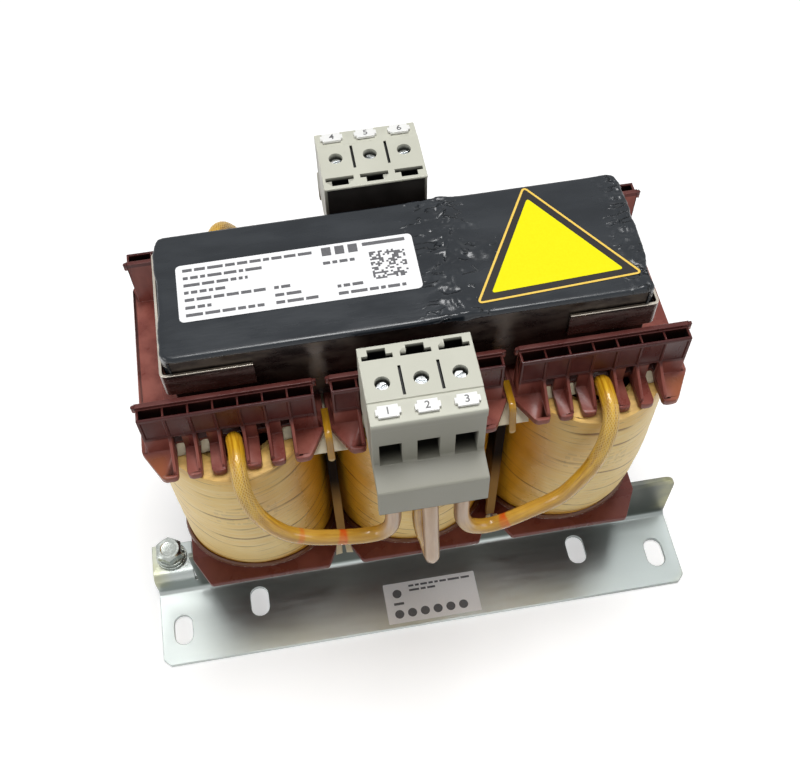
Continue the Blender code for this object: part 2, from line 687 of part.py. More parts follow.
def lofted_ring(name, outer, inner):
    """Closed ring from stacks of outer and inner outlines with equal point counts."""
    loops = outer + list(reversed(inner))
    count = len(loops[0])
    shape = bmesh.new()
    rows = [[shape.verts.new(point) for point in loop] for loop in loops]
    for row, following in zip(rows, rows[1:] + rows[:1]):
        for index in range(count):
            after = (index + 1) % count
            shape.faces.new((row[index], row[after], following[after], following[index]))
    bmesh.ops.recalc_face_normals(shape, faces=shape.faces)
    mesh = bpy.data.meshes.new(name)
    shape.to_mesh(mesh)
    shape.free()
    return mesh


def build_coils(parts, copper, paper):
    """Windings and the paper wraps over them."""
    span = WINDING_TOP - WINDING_BOTTOM
    levels = [WINDING_BOTTOM + span * step / (WRAP_LEVELS - 1) for step in range(WRAP_LEVELS)]
    wrap = lofted_ring("winding_wrap", [coil_outline(0, z) for z in levels],
                       [coil_outline(WRAP_THICKNESS, z) for z in levels])
    coarse = levels[::2]
    winding = lofted_ring("winding", [coil_outline(WRAP_THICKNESS + FIT, z) for z in coarse],
                          [tube_outline(FIT, TUBE_WALL + FIT, z) for z in (coarse[0], coarse[-1])])
    wrap.materials.append(paper)
    winding.materials.append(copper)
    for side, x in COIL_X.items():
        place = Matrix.Translation((x, 0, 0))
        smooth_by_angle(new_object("winding_wrap_" + side, wrap, parts, place))
        smooth_by_angle(new_object("winding_" + side, winding, parts, place))


def barrier_mesh(scratch):
    """Board between two coils, with a bead and a paper lip at its front and rear edge."""
    bottom = WINDING_BOTTOM
    top = WINDING_TOP
    half = [(BARRIER_REACH - BEAD_DEPTH / 2, bottom), (BARRIER_REACH - BEAD_DEPTH / 2, BEAD_TOP - BEAD_DEPTH),
            (LIP_START, top - BEAD_DEPTH), (LIP_START, top)]
    board = extruded("barrier", [half + [(-y, z) for y, z in reversed(half)]], BARRIER_THICKNESS,
                     scratch, PROFILE)
    tools = []
    for side in (-1, 1):
        near, far = sorted((side * (BARRIER_REACH - BEAD_DEPTH), side * BARRIER_REACH))
        bead = box_object("bead", (-BEAD_WIDTH / 2, near, bottom), (BEAD_WIDTH / 2, far, BEAD_TOP), scratch)
        lip_root = LIP_START - BEAD_DEPTH / 4
        lip_end = LIP_START + LIP_RUN
        lip = [(side * lip_root, top), (side * lip_end, top - LIP_DROP),
               (side * lip_end, top - LIP_DROP - LIP_THICKNESS), (side * lip_root, top - LIP_THICKNESS)]
        paper = extruded("lip", [lip], LIP_WIDTH, scratch, PROFILE)
        for tool in (bead, paper):
            combine(board, tool, "UNION")
            tools.append(tool)
    return finished(board, tools, "phase_barrier")


def band_outline(side):
    """Band over the joint of two flanges, bent down over the tongues."""
    low = BOBBIN_TOP + FIT
    outer = [(BAND_START, low + BAND_THICKNESS, 0),
             (BAND_FRONT, low + BAND_THICKNESS, 0.003),
             (BAND_TIP_REACH, low - BAND_TIP_DROP, 0)]
    inner = [(BAND_TIP_REACH - BAND_THICKNESS, low - BAND_TIP_DROP, 0),
             (BAND_FRONT - BAND_THICKNESS, low, 0.002),
             (BAND_START, low, 0)]
    return [(side * y, z) for y, z in rounded(outer + inner, 3)]


def build_barriers(parts, scratch, paper, varnish):
    """Two barriers between the coils and the bands that hold them down."""
    mesh = barrier_mesh(scratch)
    mesh.materials.append(paper)
    for name, x in (("left", -COIL_PITCH / 2), ("right", COIL_PITCH / 2)):
        new_object("phase_barrier_" + name, mesh, parts, Matrix.Translation((x, 0, 0)))
        for face, side in (("front", -1), ("rear", 1)):
            band = extruded("barrier_band_" + face + "_" + name, [band_outline(side)], BAND_WIDTH,
                            parts, Matrix.Translation((x, 0, 0)) @ PROFILE)
            band.data.materials.append(varnish)


def bracket_outline(side, with_shelf):
    """Folded section of a foot bracket, (Y, Z)."""
    bend_out = BEND_RADIUS + BRACKET_SHEET
    corners = [(FOOT_EDGE, 0, 0), (FOOT_EDGE, BRACKET_SHEET, 0),
               (BRACKET_FACE, BRACKET_SHEET, BEND_RADIUS),
               (BRACKET_FACE, UPRIGHT_HEIGHT, 0), (BRACKET_INNER, UPRIGHT_HEIGHT, 0)]
    if with_shelf:
        corners += [(BRACKET_INNER, SHELF_HEIGHT, 0), (SHELF_BACK, SHELF_HEIGHT, 0),
                    (SHELF_BACK, SHELF_HEIGHT - BRACKET_SHEET, 0),
                    (BRACKET_INNER, SHELF_HEIGHT - BRACKET_SHEET, BEND_RADIUS)]
    corners.append((BRACKET_INNER, 0, bend_out))
    return [(side * y, z) for y, z in rounded(corners)]


def stadium(x, y, width, length):
    """Outline of a slot with round ends, long along Y."""
    radius = width / 2
    run = (length - width) / 2
    points = []
    for end in (1, -1):
        for step in range(9):
            angle = math.pi * step / 8
            points.append((x + end * radius * math.cos(angle), y + end * (run + radius * math.sin(angle))))
    return points


def circle(x, y, diameter):
    """Outline of a round hole."""
    return [(x + diameter / 2 * math.cos(math.pi * step / 10), y + diameter / 2 * math.sin(math.pi * step / 10))
            for step in range(20)]


def corner_cuts(half_length, side, parts, tools):
    """Cutters for the chamfered foot corners and the round upright corners."""
    far = side * (FOOT_EDGE + FOOT_CHAMFER)
    edge = side * FOOT_EDGE
    plan = []
    for end in (-1, 1):
        x = end * half_length
        plan.append([(x - end * FOOT_CHAMFER, edge), (x - end * FOOT_CHAMFER, far),
                     (x + end * FOOT_CHAMFER, far), (x + end * FOOT_CHAMFER, edge - side * FOOT_CHAMFER),
                     (x, edge - side * FOOT_CHAMFER)])
    tools.append(extruded("foot_corners", plan, 4 * BRACKET_SHEET, parts, PLAN))
    front = []
    radius = UPRIGHT_CORNER
    for end in (-1, 1):
        x = end * half_length
        outline = [(x + end * radius, UPRIGHT_HEIGHT - radius), (x + end * radius, UPRIGHT_HEIGHT + radius),
                   (x - end * radius, UPRIGHT_HEIGHT + radius)]
        for step in range(7):
            angle = math.pi / 2 * (1 - step / 6)
            outline.append((x - end * radius * (1 - math.cos(angle)),
                            UPRIGHT_HEIGHT - radius * (1 - math.sin(angle))))
        front.append(outline)
    centre = side * (BRACKET_INNER + BRACKET_FACE) / 2
    tools.append(extruded("upright_corners", front, 4 * BRACKET_SHEET, parts,
                          Matrix.Translation((0, centre, 0)) @ ELEVATION))


def shelf_cuts(parts):
    """Cutters that leave the upright along the coils and the shelf at the left end."""
    end = -BRACKET_LENGTH / 2
    split = end + SHELF_LENGTH
    far = BRACKET_LENGTH
    behind = box_object("shelf_trim", (split, -BRACKET_INNER, BRACKET_SHEET * 1.5),
                        (far, 0, UPRIGHT_HEIGHT + BRACKET_SHEET), parts)
    roll = [(-FOOT_EDGE, SHELF_HEIGHT - SHELF_ROLL)]
    for step in range(7):
        angle = math.pi / 2 * step / 6
        roll.append((-BRACKET_FACE + SHELF_ROLL * (1 - math.cos(angle)),
                     SHELF_HEIGHT - SHELF_ROLL * (1 - math.sin(angle))))
    roll += [(0, SHELF_HEIGHT), (0, UPRIGHT_HEIGHT + BRACKET_SHEET),
             (-FOOT_EDGE, UPRIGHT_HEIGHT + BRACKET_SHEET)]
    width = SHELF_LENGTH + BRACKET_SHEET
    above = extruded("upright_trim", [roll], width, parts,
                     Matrix.Translation((split + SHELF_RELIEF / 2 - width / 2, 0, 0)) @ PROFILE)
    relief = box_object("shelf_relief",
                        (split - SHELF_RELIEF / 2, -FOOT_EDGE, SHELF_HEIGHT - SHELF_ROLL - BRACKET_SHEET / 2),
                        (split + SHELF_RELIEF / 2, 0, UPRIGHT_HEIGHT + BRACKET_SHEET), parts)
    return [behind, above, relief]


def earth_place():
    """Axis of the earth bolt."""
    return -BRACKET_LENGTH / 2 + BOLT_FROM_END, -BRACKET_FACE + BOLT_FROM_FRONT


def build_brackets(parts, cutters, zinc):
    """Front bracket with the earth shelf, and the shorter plain rear bracket."""
    for name, side, length, slots in (
            ("front", -1, BRACKET_LENGTH, ((OUTER_SLOT_X, OUTER_SLOT_Y), (INNER_SLOT_X, INNER_SLOT_Y))),
            ("rear", 1, REAR_BRACKET_LENGTH, ((INNER_SLOT_X, INNER_SLOT_Y),))):
        bracket = extruded("foot_bracket_" + name, [bracket_outline(side, side < 0)], length, parts, PROFILE)
        outlines = [stadium(end * x, side * y, SLOT_WIDTH, SLOT_LENGTH) for x, y in slots for end in (-1, 1)]
        tools = [extruded("slots_" + name, outlines, 4 * BRACKET_SHEET, cutters, PLAN)]
        corner_cuts(length / 2, side, cutters, tools)
        if side < 0:
            tools += shelf_cuts(cutters)
            x, y = earth_place()
            tools.append(extruded("earth_hole", [circle(x, y, BOLT_HOLE)], BRACKET_SHEET * 3, cutters,
                                  Matrix.Translation((0, 0, SHELF_HEIGHT - BRACKET_SHEET / 2))))
        for tool in tools:
            combine(bracket, tool, "DIFFERENCE")
        bracket.data.materials.append(zinc)


def hexagon(flats):
    """Hexagon outline across flats."""
    radius = flats / math.sqrt(3)
    return [(radius * math.cos(math.pi / 3 * step), radius * math.sin(math.pi / 3 * step))
            for step in range(6)]


def build_earth_bolt(parts, cutters, zinc):
    """Hexagon bolt, spring washer, flat washer and the nut under the shelf."""
    x, y = earth_place()
    washer_low = SHELF_HEIGHT + FIT
    washer_high = washer_low + WASHER_THICKNESS
    spring_low = washer_high + FIT
    spring_high = spring_low + SPRING_WASHER_THICKNESS
    head_low = spring_high + FIT
    place = Matrix.Translation((x, y, 0))
    bore = BOLT_HOLE / 2
    for name, low, high, outer in (
            ("earth_flat_washer", washer_low, washer_high, WASHER_DIAMETER / 2),
            ("earth_spring_washer", spring_low, spring_high, SPRING_WASHER_DIAMETER / 2)):
        washer = ring_turned(name, [(bore, high), (outer, high), (outer, low), (bore, low)], 24, parts, place)
        washer.data.materials.append(zinc)
        if name == "earth_spring_washer":
            cut = box_object("spring_cut", (x, y - SPRING_WASHER_CUT / 2, low - FIT / 2),
                             (x + outer * 2, y + SPRING_WASHER_CUT / 2, high + FIT / 2), cutters)
            combine(washer, cut, "DIFFERENCE")
    head_top = head_low + BOLT_HEAD_HEIGHT
    corner = BOLT_HEAD_FLATS / math.sqrt(3)
    bolt = extruded("earth_bolt", [hexagon(BOLT_HEAD_FLATS)], BOLT_HEAD_HEIGHT, parts,
                    Matrix.Translation((x, y, (head_low + head_top) / 2)))
    dome = turned("bolt_head_turning",
                  [(0, head_top), (BOLT_HEAD_FLATS * 0.46, head_top),
                   (corner * 1.02, head_top - BOLT_HEAD_HEIGHT * 0.16), (corner * 1.02, head_low - FIT),
                   (0, head_low - FIT)], 24, cutters, place @ Matrix.Rotation(math.pi / 24, 4, "Z"))
    combine(bolt, dome, "INTERSECT")
    tip = head_low - BOLT_LENGTH
    shank = turned("bolt_shank", [(0, head_low + FIT), (BOLT_DIAMETER / 2, head_low + FIT),
                                  (BOLT_DIAMETER / 2, tip + BOLT_DIAMETER / 8),
                                  (BOLT_DIAMETER * 0.4, tip), (0, tip)], 24, cutters, place)
    combine(bolt, shank, "UNION")
    bolt.data.materials.append(zinc)
    nut_top = SHELF_HEIGHT - BRACKET_SHEET - FIT
    nut = extruded("earth_nut", [hexagon(BOLT_HEAD_FLATS)], NUT_HEIGHT, parts,
                   Matrix.Translation((x, y, nut_top - NUT_HEIGHT / 2)))
    thread = turned("nut_thread", [(0, nut_top + FIT), (BOLT_DIAMETER / 2 + FIT, nut_top + FIT),
                                   (BOLT_DIAMETER / 2 + FIT, nut_top - NUT_HEIGHT - FIT),
                                   (0, nut_top - NUT_HEIGHT - FIT)], 24, cutters, place)
    combine(nut, thread, "DIFFERENCE")
    nut.data.materials.append(zinc)


def tape_block(name, low_x, high_x, lift, round_end, collection):
    """Solid with soft edges that one stretch of tape is the skin of."""
    half = HALF_STACK + FIT + TAPE_THICKNESS + lift
    block = box_object(name, (low_x, -half, TAPE_TOP - TAPE_END_DROP), (high_x, half, TAPE_TOP + lift),
                       collection)
    shape = bmesh.new()
    shape.from_mesh(block.data)
    corners = [edge for edge in shape.edges
               if all(vert.co.x * round_end > 0 for vert in edge.verts)
               and edge.verts[0].co.y == edge.verts[1].co.y]
    bmesh.ops.bevel(shape, geom=corners, offset=TAPE_CORNER, segments=4, profile=0.5, affect="EDGES")
    shape.to_mesh(block.data)
    shape.free()
    edges = block.modifiers.new("Folds", "BEVEL")
    edges.width = TAPE_THICKNESS * 1.6
    edges.segments = 2
    return block


def tape_room(name, low_x, high_x, lift, cutters):
    """Cutter for the room under one stretch of tape."""
    half = HALF_STACK + FIT + lift
    return box_object(name, (low_x, -half, TAPE_TOP - 2 * TAPE_END_DROP),
                      (high_x, half, YOKE_TOP + FIT + lift), cutters)


def tape_skirts(name, low_x, high_x, cutters):
    """Cutters that leave only a narrow lip of tape down the front and the rear."""
    skirts = []
    for side in (-1, 1):
        near, far = sorted((side * (HALF_STACK - FIT), side * (HALF_STACK + TAPE_END_DROP)))
        skirts.append(box_object(name, (low_x, near, TAPE_TOP - 2 * TAPE_END_DROP),
                                 (high_x, far, TAPE_TOP - TAPE_LIP), cutters))
    return skirts


def build_tape(parts, cutters, film):
    """Left and right tape, the right one stepped up over the end of the left one."""
    core_end = CORE_LENGTH / 2 + FIT
    end = core_end + TAPE_END_THICKNESS
    lap_end = TAPE_SEAM_X + TAPE_LAP
    lift = FIT + TAPE_THICKNESS
    left = tape_block("yoke_tape_left", -end, lap_end - FIT, 0, -1, parts)
    for tool in [tape_room("left_tape_room", -core_end, lap_end + FIT, 0, cutters)] + tape_skirts(
            "left_tape_skirt", -end - FIT, lap_end + FIT, cutters):
        combine(left, tool, "DIFFERENCE")
    right = tape_block("yoke_tape_right", lap_end, end, 0, 1, parts)
    step = tape_block("tape_step", TAPE_SEAM_X, lap_end + 2 * TAPE_THICKNESS, lift, 0, cutters)
    combine(right, step, "UNION")
    for tool in [tape_room("right_tape_room", TAPE_SEAM_X - FIT, core_end, 0, cutters),
                 tape_room("tape_step_room", TAPE_SEAM_X - FIT, lap_end, lift, cutters)] + tape_skirts(
                     "right_tape_skirt", TAPE_SEAM_X - FIT, end + FIT, cutters):
        combine(right, tool, "DIFFERENCE")
    for tape in (left, right):
        tape.data.materials.append(film)


def clip_outline(end):
    """Plan of a clip: two legs along the yoke and a bar across its end."""
    inner_y = HALF_STACK + FIT
    outer_y = inner_y + CLIP_SHEET
    inner_x = CORE_LENGTH / 2 + 2 * FIT + TAPE_END_THICKNESS
    outer_x = inner_x + CLIP_SHEET
    tip = outer_x - CLIP_LEG
    corners = [(tip, outer_y, 0), (tip, inner_y, 0), (inner_x, inner_y, CLIP_BEND - CLIP_SHEET),
               (inner_x, -inner_y, CLIP_BEND - CLIP_SHEET), (tip, -inner_y, 0), (tip, -outer_y, 0),
               (outer_x, -outer_y, CLIP_BEND), (outer_x, outer_y, CLIP_BEND)]
    return [(end * x, y) for x, y in rounded(corners)]


def build_clips(parts, steel):
    """Clips round the left and right end of the yoke."""
    top = YOKE_TOP - CLIP_BELOW_TOP
    for name, end in (("left", -1), ("right", 1)):
        clip = extruded("yoke_clip_" + name, [clip_outline(end)], CLIP_HEIGHT, parts,
                        Matrix.Translation((0, 0, top - CLIP_HEIGHT / 2)))
        clip.data.materials.append(steel)


def block_profile():
    """Section of the terminal block, (distance outwards, height)."""
    top = BLOCK_TOP
    apron = APRON_CREST - APRON_WALL
    corners = [(BLOCK_INNER, top, 0.0004), (BLOCK_STEP, top, 0), (BLOCK_STEP, top - BLOCK_STEP_DROP, 0),
               (BLOCK_LIP, top - 2 * BLOCK_STEP_DROP, 0.0005), (BLOCK_LIP, top - BLOCK_LIP_DROP, 0.0003),
               (BLOCK_FACE, top - BLOCK_LIP_DROP, 0),
               (BLOCK_FACE, top - APRON_SHELF_DROP, 0.0012),
               (APRON_CREST - 0.0004, top - APRON_TOP_DROP, 0.0012),
               (APRON_CREST, top - APRON_BOTTOM_DROP, 0.0004),
               (apron, top - APRON_BOTTOM_DROP, 0.0004),
               (apron - 0.0002, top - BLOCK_FOOT_DROP, 0.0012),
               (STRIP_OUTER + FIT, top - BLOCK_FOOT_DROP, 0),
               (STRIP_OUTER + FIT, BLOCK_LEDGE, 0), (BLOCK_BACK, BLOCK_LEDGE, 0),
               (BLOCK_BACK, top - BLOCK_BACK_RECESS, 0), (BLOCK_INNER, top - BLOCK_BACK_RECESS, 0)]
    return [(-out, height) for out, height in rounded(corners, 3)]


def pole_offsets():
    """X of the three poles from the middle of a block."""
    return [-POLE_PITCH, 0.0, POLE_PITCH]


def block_mesh(scratch):
    """Front terminal block about the middle of its width."""
    block = extruded("terminal_block", [block_profile()], BLOCK_WIDTH, scratch, PROFILE)
    tools = []
    floor = BLOCK_TOP - CHAMBER_TOP_DROP - CHAMBER_HEIGHT
    probes = []
    screw_holes = []
    for x in pole_offsets():
        tools.append(box_object("chamber", (x - CHAMBER_WIDTH / 2, -BLOCK_LIP - 0.001, floor),
                                (x + CHAMBER_WIDTH / 2, -BLOCK_FACE + CHAMBER_DEPTH,
                                 BLOCK_TOP - CHAMBER_TOP_DROP), scratch))
        screw_holes.append(circle(x, -SCREW_OUT, SCREW_HOLE))
        probes.append([(x - PROBE_WIDE / 2, -PROBE_OUTER), (x + PROBE_WIDE / 2, -PROBE_OUTER),
                       (x + PROBE_WIDE / 2, -PROBE_STEP), (x + PROBE_NARROW / 2, -PROBE_STEP),
                       (x + PROBE_NARROW / 2, -PROBE_INNER), (x - PROBE_NARROW / 2, -PROBE_INNER),
                       (x - PROBE_NARROW / 2, -PROBE_STEP), (x - PROBE_WIDE / 2, -PROBE_STEP)])
    bore = 2 * CHAMBER_TOP_DROP + CHAMBER_HEIGHT / 4
    tools.append(extruded("screw_holes", screw_holes, bore, scratch, Matrix.Translation((0, 0, BLOCK_TOP))))
    tools.append(extruded("probe_holes", probes, 2 * PROBE_DEPTH, scratch,
                          Matrix.Translation((0, 0, BLOCK_TOP))))
    for x in (-POLE_PITCH / 2, POLE_PITCH / 2):
        tools.append(box_object("slit", (x - SLIT_WIDTH / 2, -SLIT_END, BLOCK_TOP - SLIT_DEPTH),
                                (x + SLIT_WIDTH / 2, -SLIT_START, BLOCK_TOP + SLIT_DEPTH), scratch))
    for tool in tools:
        combine(block, tool, "DIFFERENCE")
    return finished(block, tools, "terminal_block")


def carrier_mesh(scratch, block_x):
    """Back plate of the terminal block with two tabs that hook into the comb pockets."""
    half = BLOCK_WIDTH / 2 - STRIP_WALL
    front = STRIP_OUTER - STRIP_OUTER_WALL - FIT
    back = front - CARRIER_THICKNESS
    top = BLOCK_TOP - BLOCK_BACK_RECESS - FIT
    outline = [(-half, BLOCK_LEDGE), (-half, top), (half, top), (half, BLOCK_LEDGE)]
    low = BLOCK_LEDGE - CARRIER_TAB_DROP
    for pocket in (POCKET_PITCH, -POCKET_PITCH):
        middle = pocket - block_x
        outline += [(middle + CARRIER_TAB_WIDTH / 2, BLOCK_LEDGE), (middle + CARRIER_TAB_WIDTH / 2, low),
                    (middle - CARRIER_TAB_WIDTH / 2, low), (middle - CARRIER_TAB_WIDTH / 2, BLOCK_LEDGE)]
    plate = extruded("terminal_carrier", [outline], CARRIER_THICKNESS, scratch,
                     Matrix.Translation((0, -(front + back) / 2, 0)) @ ELEVATION)
    return finished(plate, [], "terminal_carrier")


def screw_mesh(scratch):
    """Terminal screw about its axis, with a driver slot, top of the head at zero."""
    head = SCREW_HEAD / 2
    shank = SCREW_SHANK / 2
    reach = CHAMBER_TOP_DROP - SCREW_SINK + CHAMBER_HEIGHT * 0.35
    screw = turned("terminal_screw", [(0, 0), (head * 0.86, 0), (head, -SCREW_HEAD_HEIGHT * 0.2),
                                      (head, -SCREW_HEAD_HEIGHT), (shank, -SCREW_HEAD_HEIGHT),
                                      (shank, -reach), (0, -reach)], 12, scratch, PLAN)
    slot = box_object("screw_slot", (-head * 1.1, -SCREW_DRIVE / 2, -SCREW_DRIVE),
                      (head * 1.1, SCREW_DRIVE / 2, SCREW_DRIVE), scratch)
    combine(screw, slot, "DIFFERENCE")
    return finished(screw, [slot], "terminal_screw")


def cage_mesh(scratch):
    """Clamp cage about its own centre: a square sleeve with a hole for the screw."""
    height = CHAMBER_HEIGHT - 2 * FIT
    half_x, half_y, half_z = CAGE_WIDTH / 2, CAGE_DEPTH / 2, height / 2
    cage = box_object("clamp_cage", (-half_x, -half_y, -half_z), (half_x, half_y, half_z), scratch)
    way = box_object("cage_way", (-half_x + CAGE_WALL, -half_y - CAGE_WALL, -half_z + CAGE_WALL),
                     (half_x - CAGE_WALL, half_y + CAGE_WALL, half_z - CAGE_WALL), scratch)
    radius = CAGE_SCREW_HOLE / 2
    hole = turned("cage_hole", [(0, half_z * 2), (radius, half_z * 2), (radius, 0), (0, 0)], 12,
                  scratch, PLAN)
    for tool in (way, hole):
        combine(cage, tool, "DIFFERENCE")
    return finished(cage, [way, hole], "clamp_cage")


def tag_outline():
    """Plan of a marker tag with an ear at each side."""
    half = TAG_WIDTH / 2
    shoulder = half - TAG_EAR
    deep = TAG_DEPTH / 2
    ear = TAG_DEPTH / 4
    return [(-shoulder, -deep), (shoulder, -deep), (shoulder, -ear), (half, -ear), (half, ear),
            (shoulder, ear), (shoulder, deep), (-shoulder, deep), (-shoulder, ear), (-half, ear),
            (-half, -ear), (-shoulder, -ear)]


def build_terminals(parts, scratch, materials):
    """Both terminal blocks with their carriers, screws, cages and marker tags."""
    block = block_mesh(scratch)
    block.materials.append(materials["grey"])
    screw = screw_mesh(scratch)
    screw.materials.append(materials["nickel"])
    cage = cage_mesh(scratch)
    cage.materials.append(materials["brass"])
    slope = math.atan2(BLOCK_STEP_DROP, BLOCK_LIP - BLOCK_STEP)
    tag_out = (BLOCK_STEP + BLOCK_LIP) / 2
    tag_lift = FIT + TAG_THICKNESS / 2
    tag_height = BLOCK_TOP - 1.5 * BLOCK_STEP_DROP + tag_lift / math.cos(slope)
    tag = extruded("marker_tag", [tag_outline()], TAG_THICKNESS, scratch, PLAN)
    tag_mesh = finished(tag, [], "marker_tag")
    tag_mesh.materials.append(materials["white"])
    cage_middle = BLOCK_TOP - CHAMBER_TOP_DROP - CHAMBER_HEIGHT / 2
    for face, block_x, turn in (("front", FRONT_BLOCK_X, Matrix.Identity(4)),
                                ("rear", REAR_BLOCK_X, HALF_TURN)):
        place = Matrix.Translation((block_x, 0, 0)) @ turn
        smooth_by_angle(new_object("terminal_block_" + face, block, parts, place), 35)
        side = 1 if face == "front" else -1
        carrier = carrier_mesh(scratch, side * block_x)
        carrier.materials.append(materials["black"])
        new_object("terminal_carrier_" + face, carrier, parts, place)
        for number, x in enumerate(pole_offsets(), 1):
            label = face + "_" + str(number)
            smooth_by_angle(new_object("terminal_screw_" + label, screw, parts, place @ Matrix.Translation(
                (x, -SCREW_OUT, BLOCK_TOP - SCREW_SINK))), 50)
            new_object("clamp_cage_" + label, cage, parts,
                       place @ Matrix.Translation((x, -SCREW_OUT, cage_middle)))
            new_object("marker_tag_" + label, tag_mesh, parts,
                       place @ Matrix.Translation((x + TAG_SHIFT, -tag_out, tag_height))
                       @ Matrix.Rotation(slope, 4, "X"))


def smooth_route(route):
    """Points every few millimetres along a smooth curve through a lead's own points."""
    knots = [Vector(point) for point in route]
    padded = [2 * knots[0] - knots[1]] + knots + [2 * knots[-1] - knots[-2]]
    dense = []
    for p0, p1, p2, p3 in zip(padded, padded[1:], padded[2:], padded[3:]):
        for step in range(12):
            t = step / 12
            dense.append(0.5 * (2 * p1 + (p2 - p0) * t + (2 * p0 - 5 * p1 + 4 * p2 - p3) * t * t
                                + (3 * p1 - 3 * p2 + p3 - p0) * t * t * t))
    dense.append(knots[-1])
    length = sum((b - a).length for a, b in zip(dense, dense[1:]))
    count = round(length / LEAD_STEP)
    points = [dense[0]]
    travelled = 0.0
    for a, b in zip(dense, dense[1:]):
        travelled += (b - a).length
        if travelled >= length * len(points) / count and len(points) < count:
            points.append(b)
    points.append(dense[-1])
    return points


def tied_route(route, coil_x):
    """A lead's route with its start on its coil's axis and its end where the block has it."""
    start = route[0][0]
    end = route[-1][0]
    return [(end + (x - end) * (coil_x - end) / (start - end), y, z) for x, y, z in route]


def build_leads(parts, sleeve):
    """Six sleeved leads between the coils and the terminal blocks."""
    for name, route in LEAD_ROUTES.items():
        points = smooth_route(tied_route(route, COIL_X[name.split("_")[1]]))
        curve = bpy.data.curves.new("lead_" + name, "CURVE")
        curve.dimensions = "3D"
        curve.bevel_depth = LEAD_DIAMETER / 2
        curve.bevel_resolution = 2
        curve.use_fill_caps = True
        curve.twist_mode = "MINIMUM"
        spline = curve.splines.new("POLY")
        spline.points.add(len(points) - 1)
        for point, place in zip(spline.points, points):
            point.co = (*place, 1.0)
        lead = new_object("lead_" + name, curve, parts)
        curve.materials.append(sleeve)
        lead.data.splines[0].use_smooth = True


def main():
    clear_scene()
    parts = new_collection("line_reactor")
    cutters = new_collection("cutters")
    core_steel = new_material("core_steel", (0.20, 0.18, 0.16), 0.35, 0.8)
    board = new_material("gap_board", (0.62, 0.52, 0.34), 0.7)
    plastic = new_material("bobbin_plastic", (0.22, 0.07, 0.06), 0.35)
    copper = new_material("winding_copper", (0.72, 0.38, 0.20), 0.35, 1.0)
    paper = new_material("wrap_paper", (0.70, 0.52, 0.28), 0.5)
    barrier_paper = new_material("barrier_paper", (0.80, 0.74, 0.56), 0.7)
    varnish = new_material("varnished_band", (0.60, 0.38, 0.08), 0.3)
    zinc = new_material("zinc_sheet", (0.58, 0.61, 0.62), 0.35, 0.9)
    film = new_material("yoke_tape_film", (0.03, 0.035, 0.04), 0.25)
    clip_steel = new_material("clip_steel", (0.38, 0.34, 0.31), 0.3, 0.9)
    sleeve = new_material("lead_sleeve", (0.70, 0.44, 0.12), 0.45)
    terminal_materials = {
        "grey": new_material("terminal_grey", (0.55, 0.54, 0.50), 0.45),
        "black": new_material("carrier_black", (0.03, 0.03, 0.03), 0.4),
        "nickel": new_material("screw_nickel", (0.75, 0.75, 0.74), 0.25, 1.0),
        "brass": new_material("cage_brass", (0.72, 0.58, 0.28), 0.3, 1.0),
        "white": new_material("tag_white", (0.85, 0.85, 0.83), 0.5)}
    build_core(parts, core_steel)
    build_gap_spacers(parts, board)
    build_bobbins(parts, cutters, plastic)
    build_coils(parts, copper, paper)
    build_barriers(parts, cutters, barrier_paper, varnish)
    build_brackets(parts, cutters, zinc)
    build_earth_bolt(parts, cutters, zinc)
    build_tape(parts, cutters, film)
    build_clips(parts, clip_steel)
    build_terminals(parts, cutters, terminal_materials)
    build_leads(parts, sleeve)


main()
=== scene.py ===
import math
import random

import bmesh
import bpy
from mathutils import Matrix, Vector, noise


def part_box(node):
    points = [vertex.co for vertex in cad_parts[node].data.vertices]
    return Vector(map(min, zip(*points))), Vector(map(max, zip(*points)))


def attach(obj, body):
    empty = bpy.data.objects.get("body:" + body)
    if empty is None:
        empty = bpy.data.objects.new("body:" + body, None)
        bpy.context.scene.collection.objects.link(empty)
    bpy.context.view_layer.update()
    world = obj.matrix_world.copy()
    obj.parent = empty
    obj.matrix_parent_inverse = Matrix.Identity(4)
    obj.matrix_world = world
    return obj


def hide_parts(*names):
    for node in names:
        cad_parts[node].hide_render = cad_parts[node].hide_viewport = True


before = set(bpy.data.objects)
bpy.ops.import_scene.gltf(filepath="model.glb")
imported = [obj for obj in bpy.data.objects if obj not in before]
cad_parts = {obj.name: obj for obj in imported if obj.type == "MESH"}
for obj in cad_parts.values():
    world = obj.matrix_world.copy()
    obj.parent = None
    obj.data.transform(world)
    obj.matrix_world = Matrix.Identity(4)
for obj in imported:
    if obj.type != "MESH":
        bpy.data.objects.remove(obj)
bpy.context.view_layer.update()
scene = bpy.context.scene
scene.view_settings.view_transform = "Standard"

# The reactor stands on a pale bench and is seen from in front and well above.
# The camera has a long lens and is turned a little about its own axis.
VIEW_AZIMUTH = -0.12217776
VIEW_ELEVATION = 1.04205731
VIEW_ROLL = -0.04962572
VIEW_DISTANCE = 0.46597404
VIEW_ACROSS = -0.00719398
VIEW_UP = 0.02157412
VIEW_FOCAL = 1051.93594
VIEW_CENTRE = (385.64208, 453.05305)
FRAME_WIDTH = 800
FRAME_HEIGHT = 782
SENSOR_WIDTH = 36.0

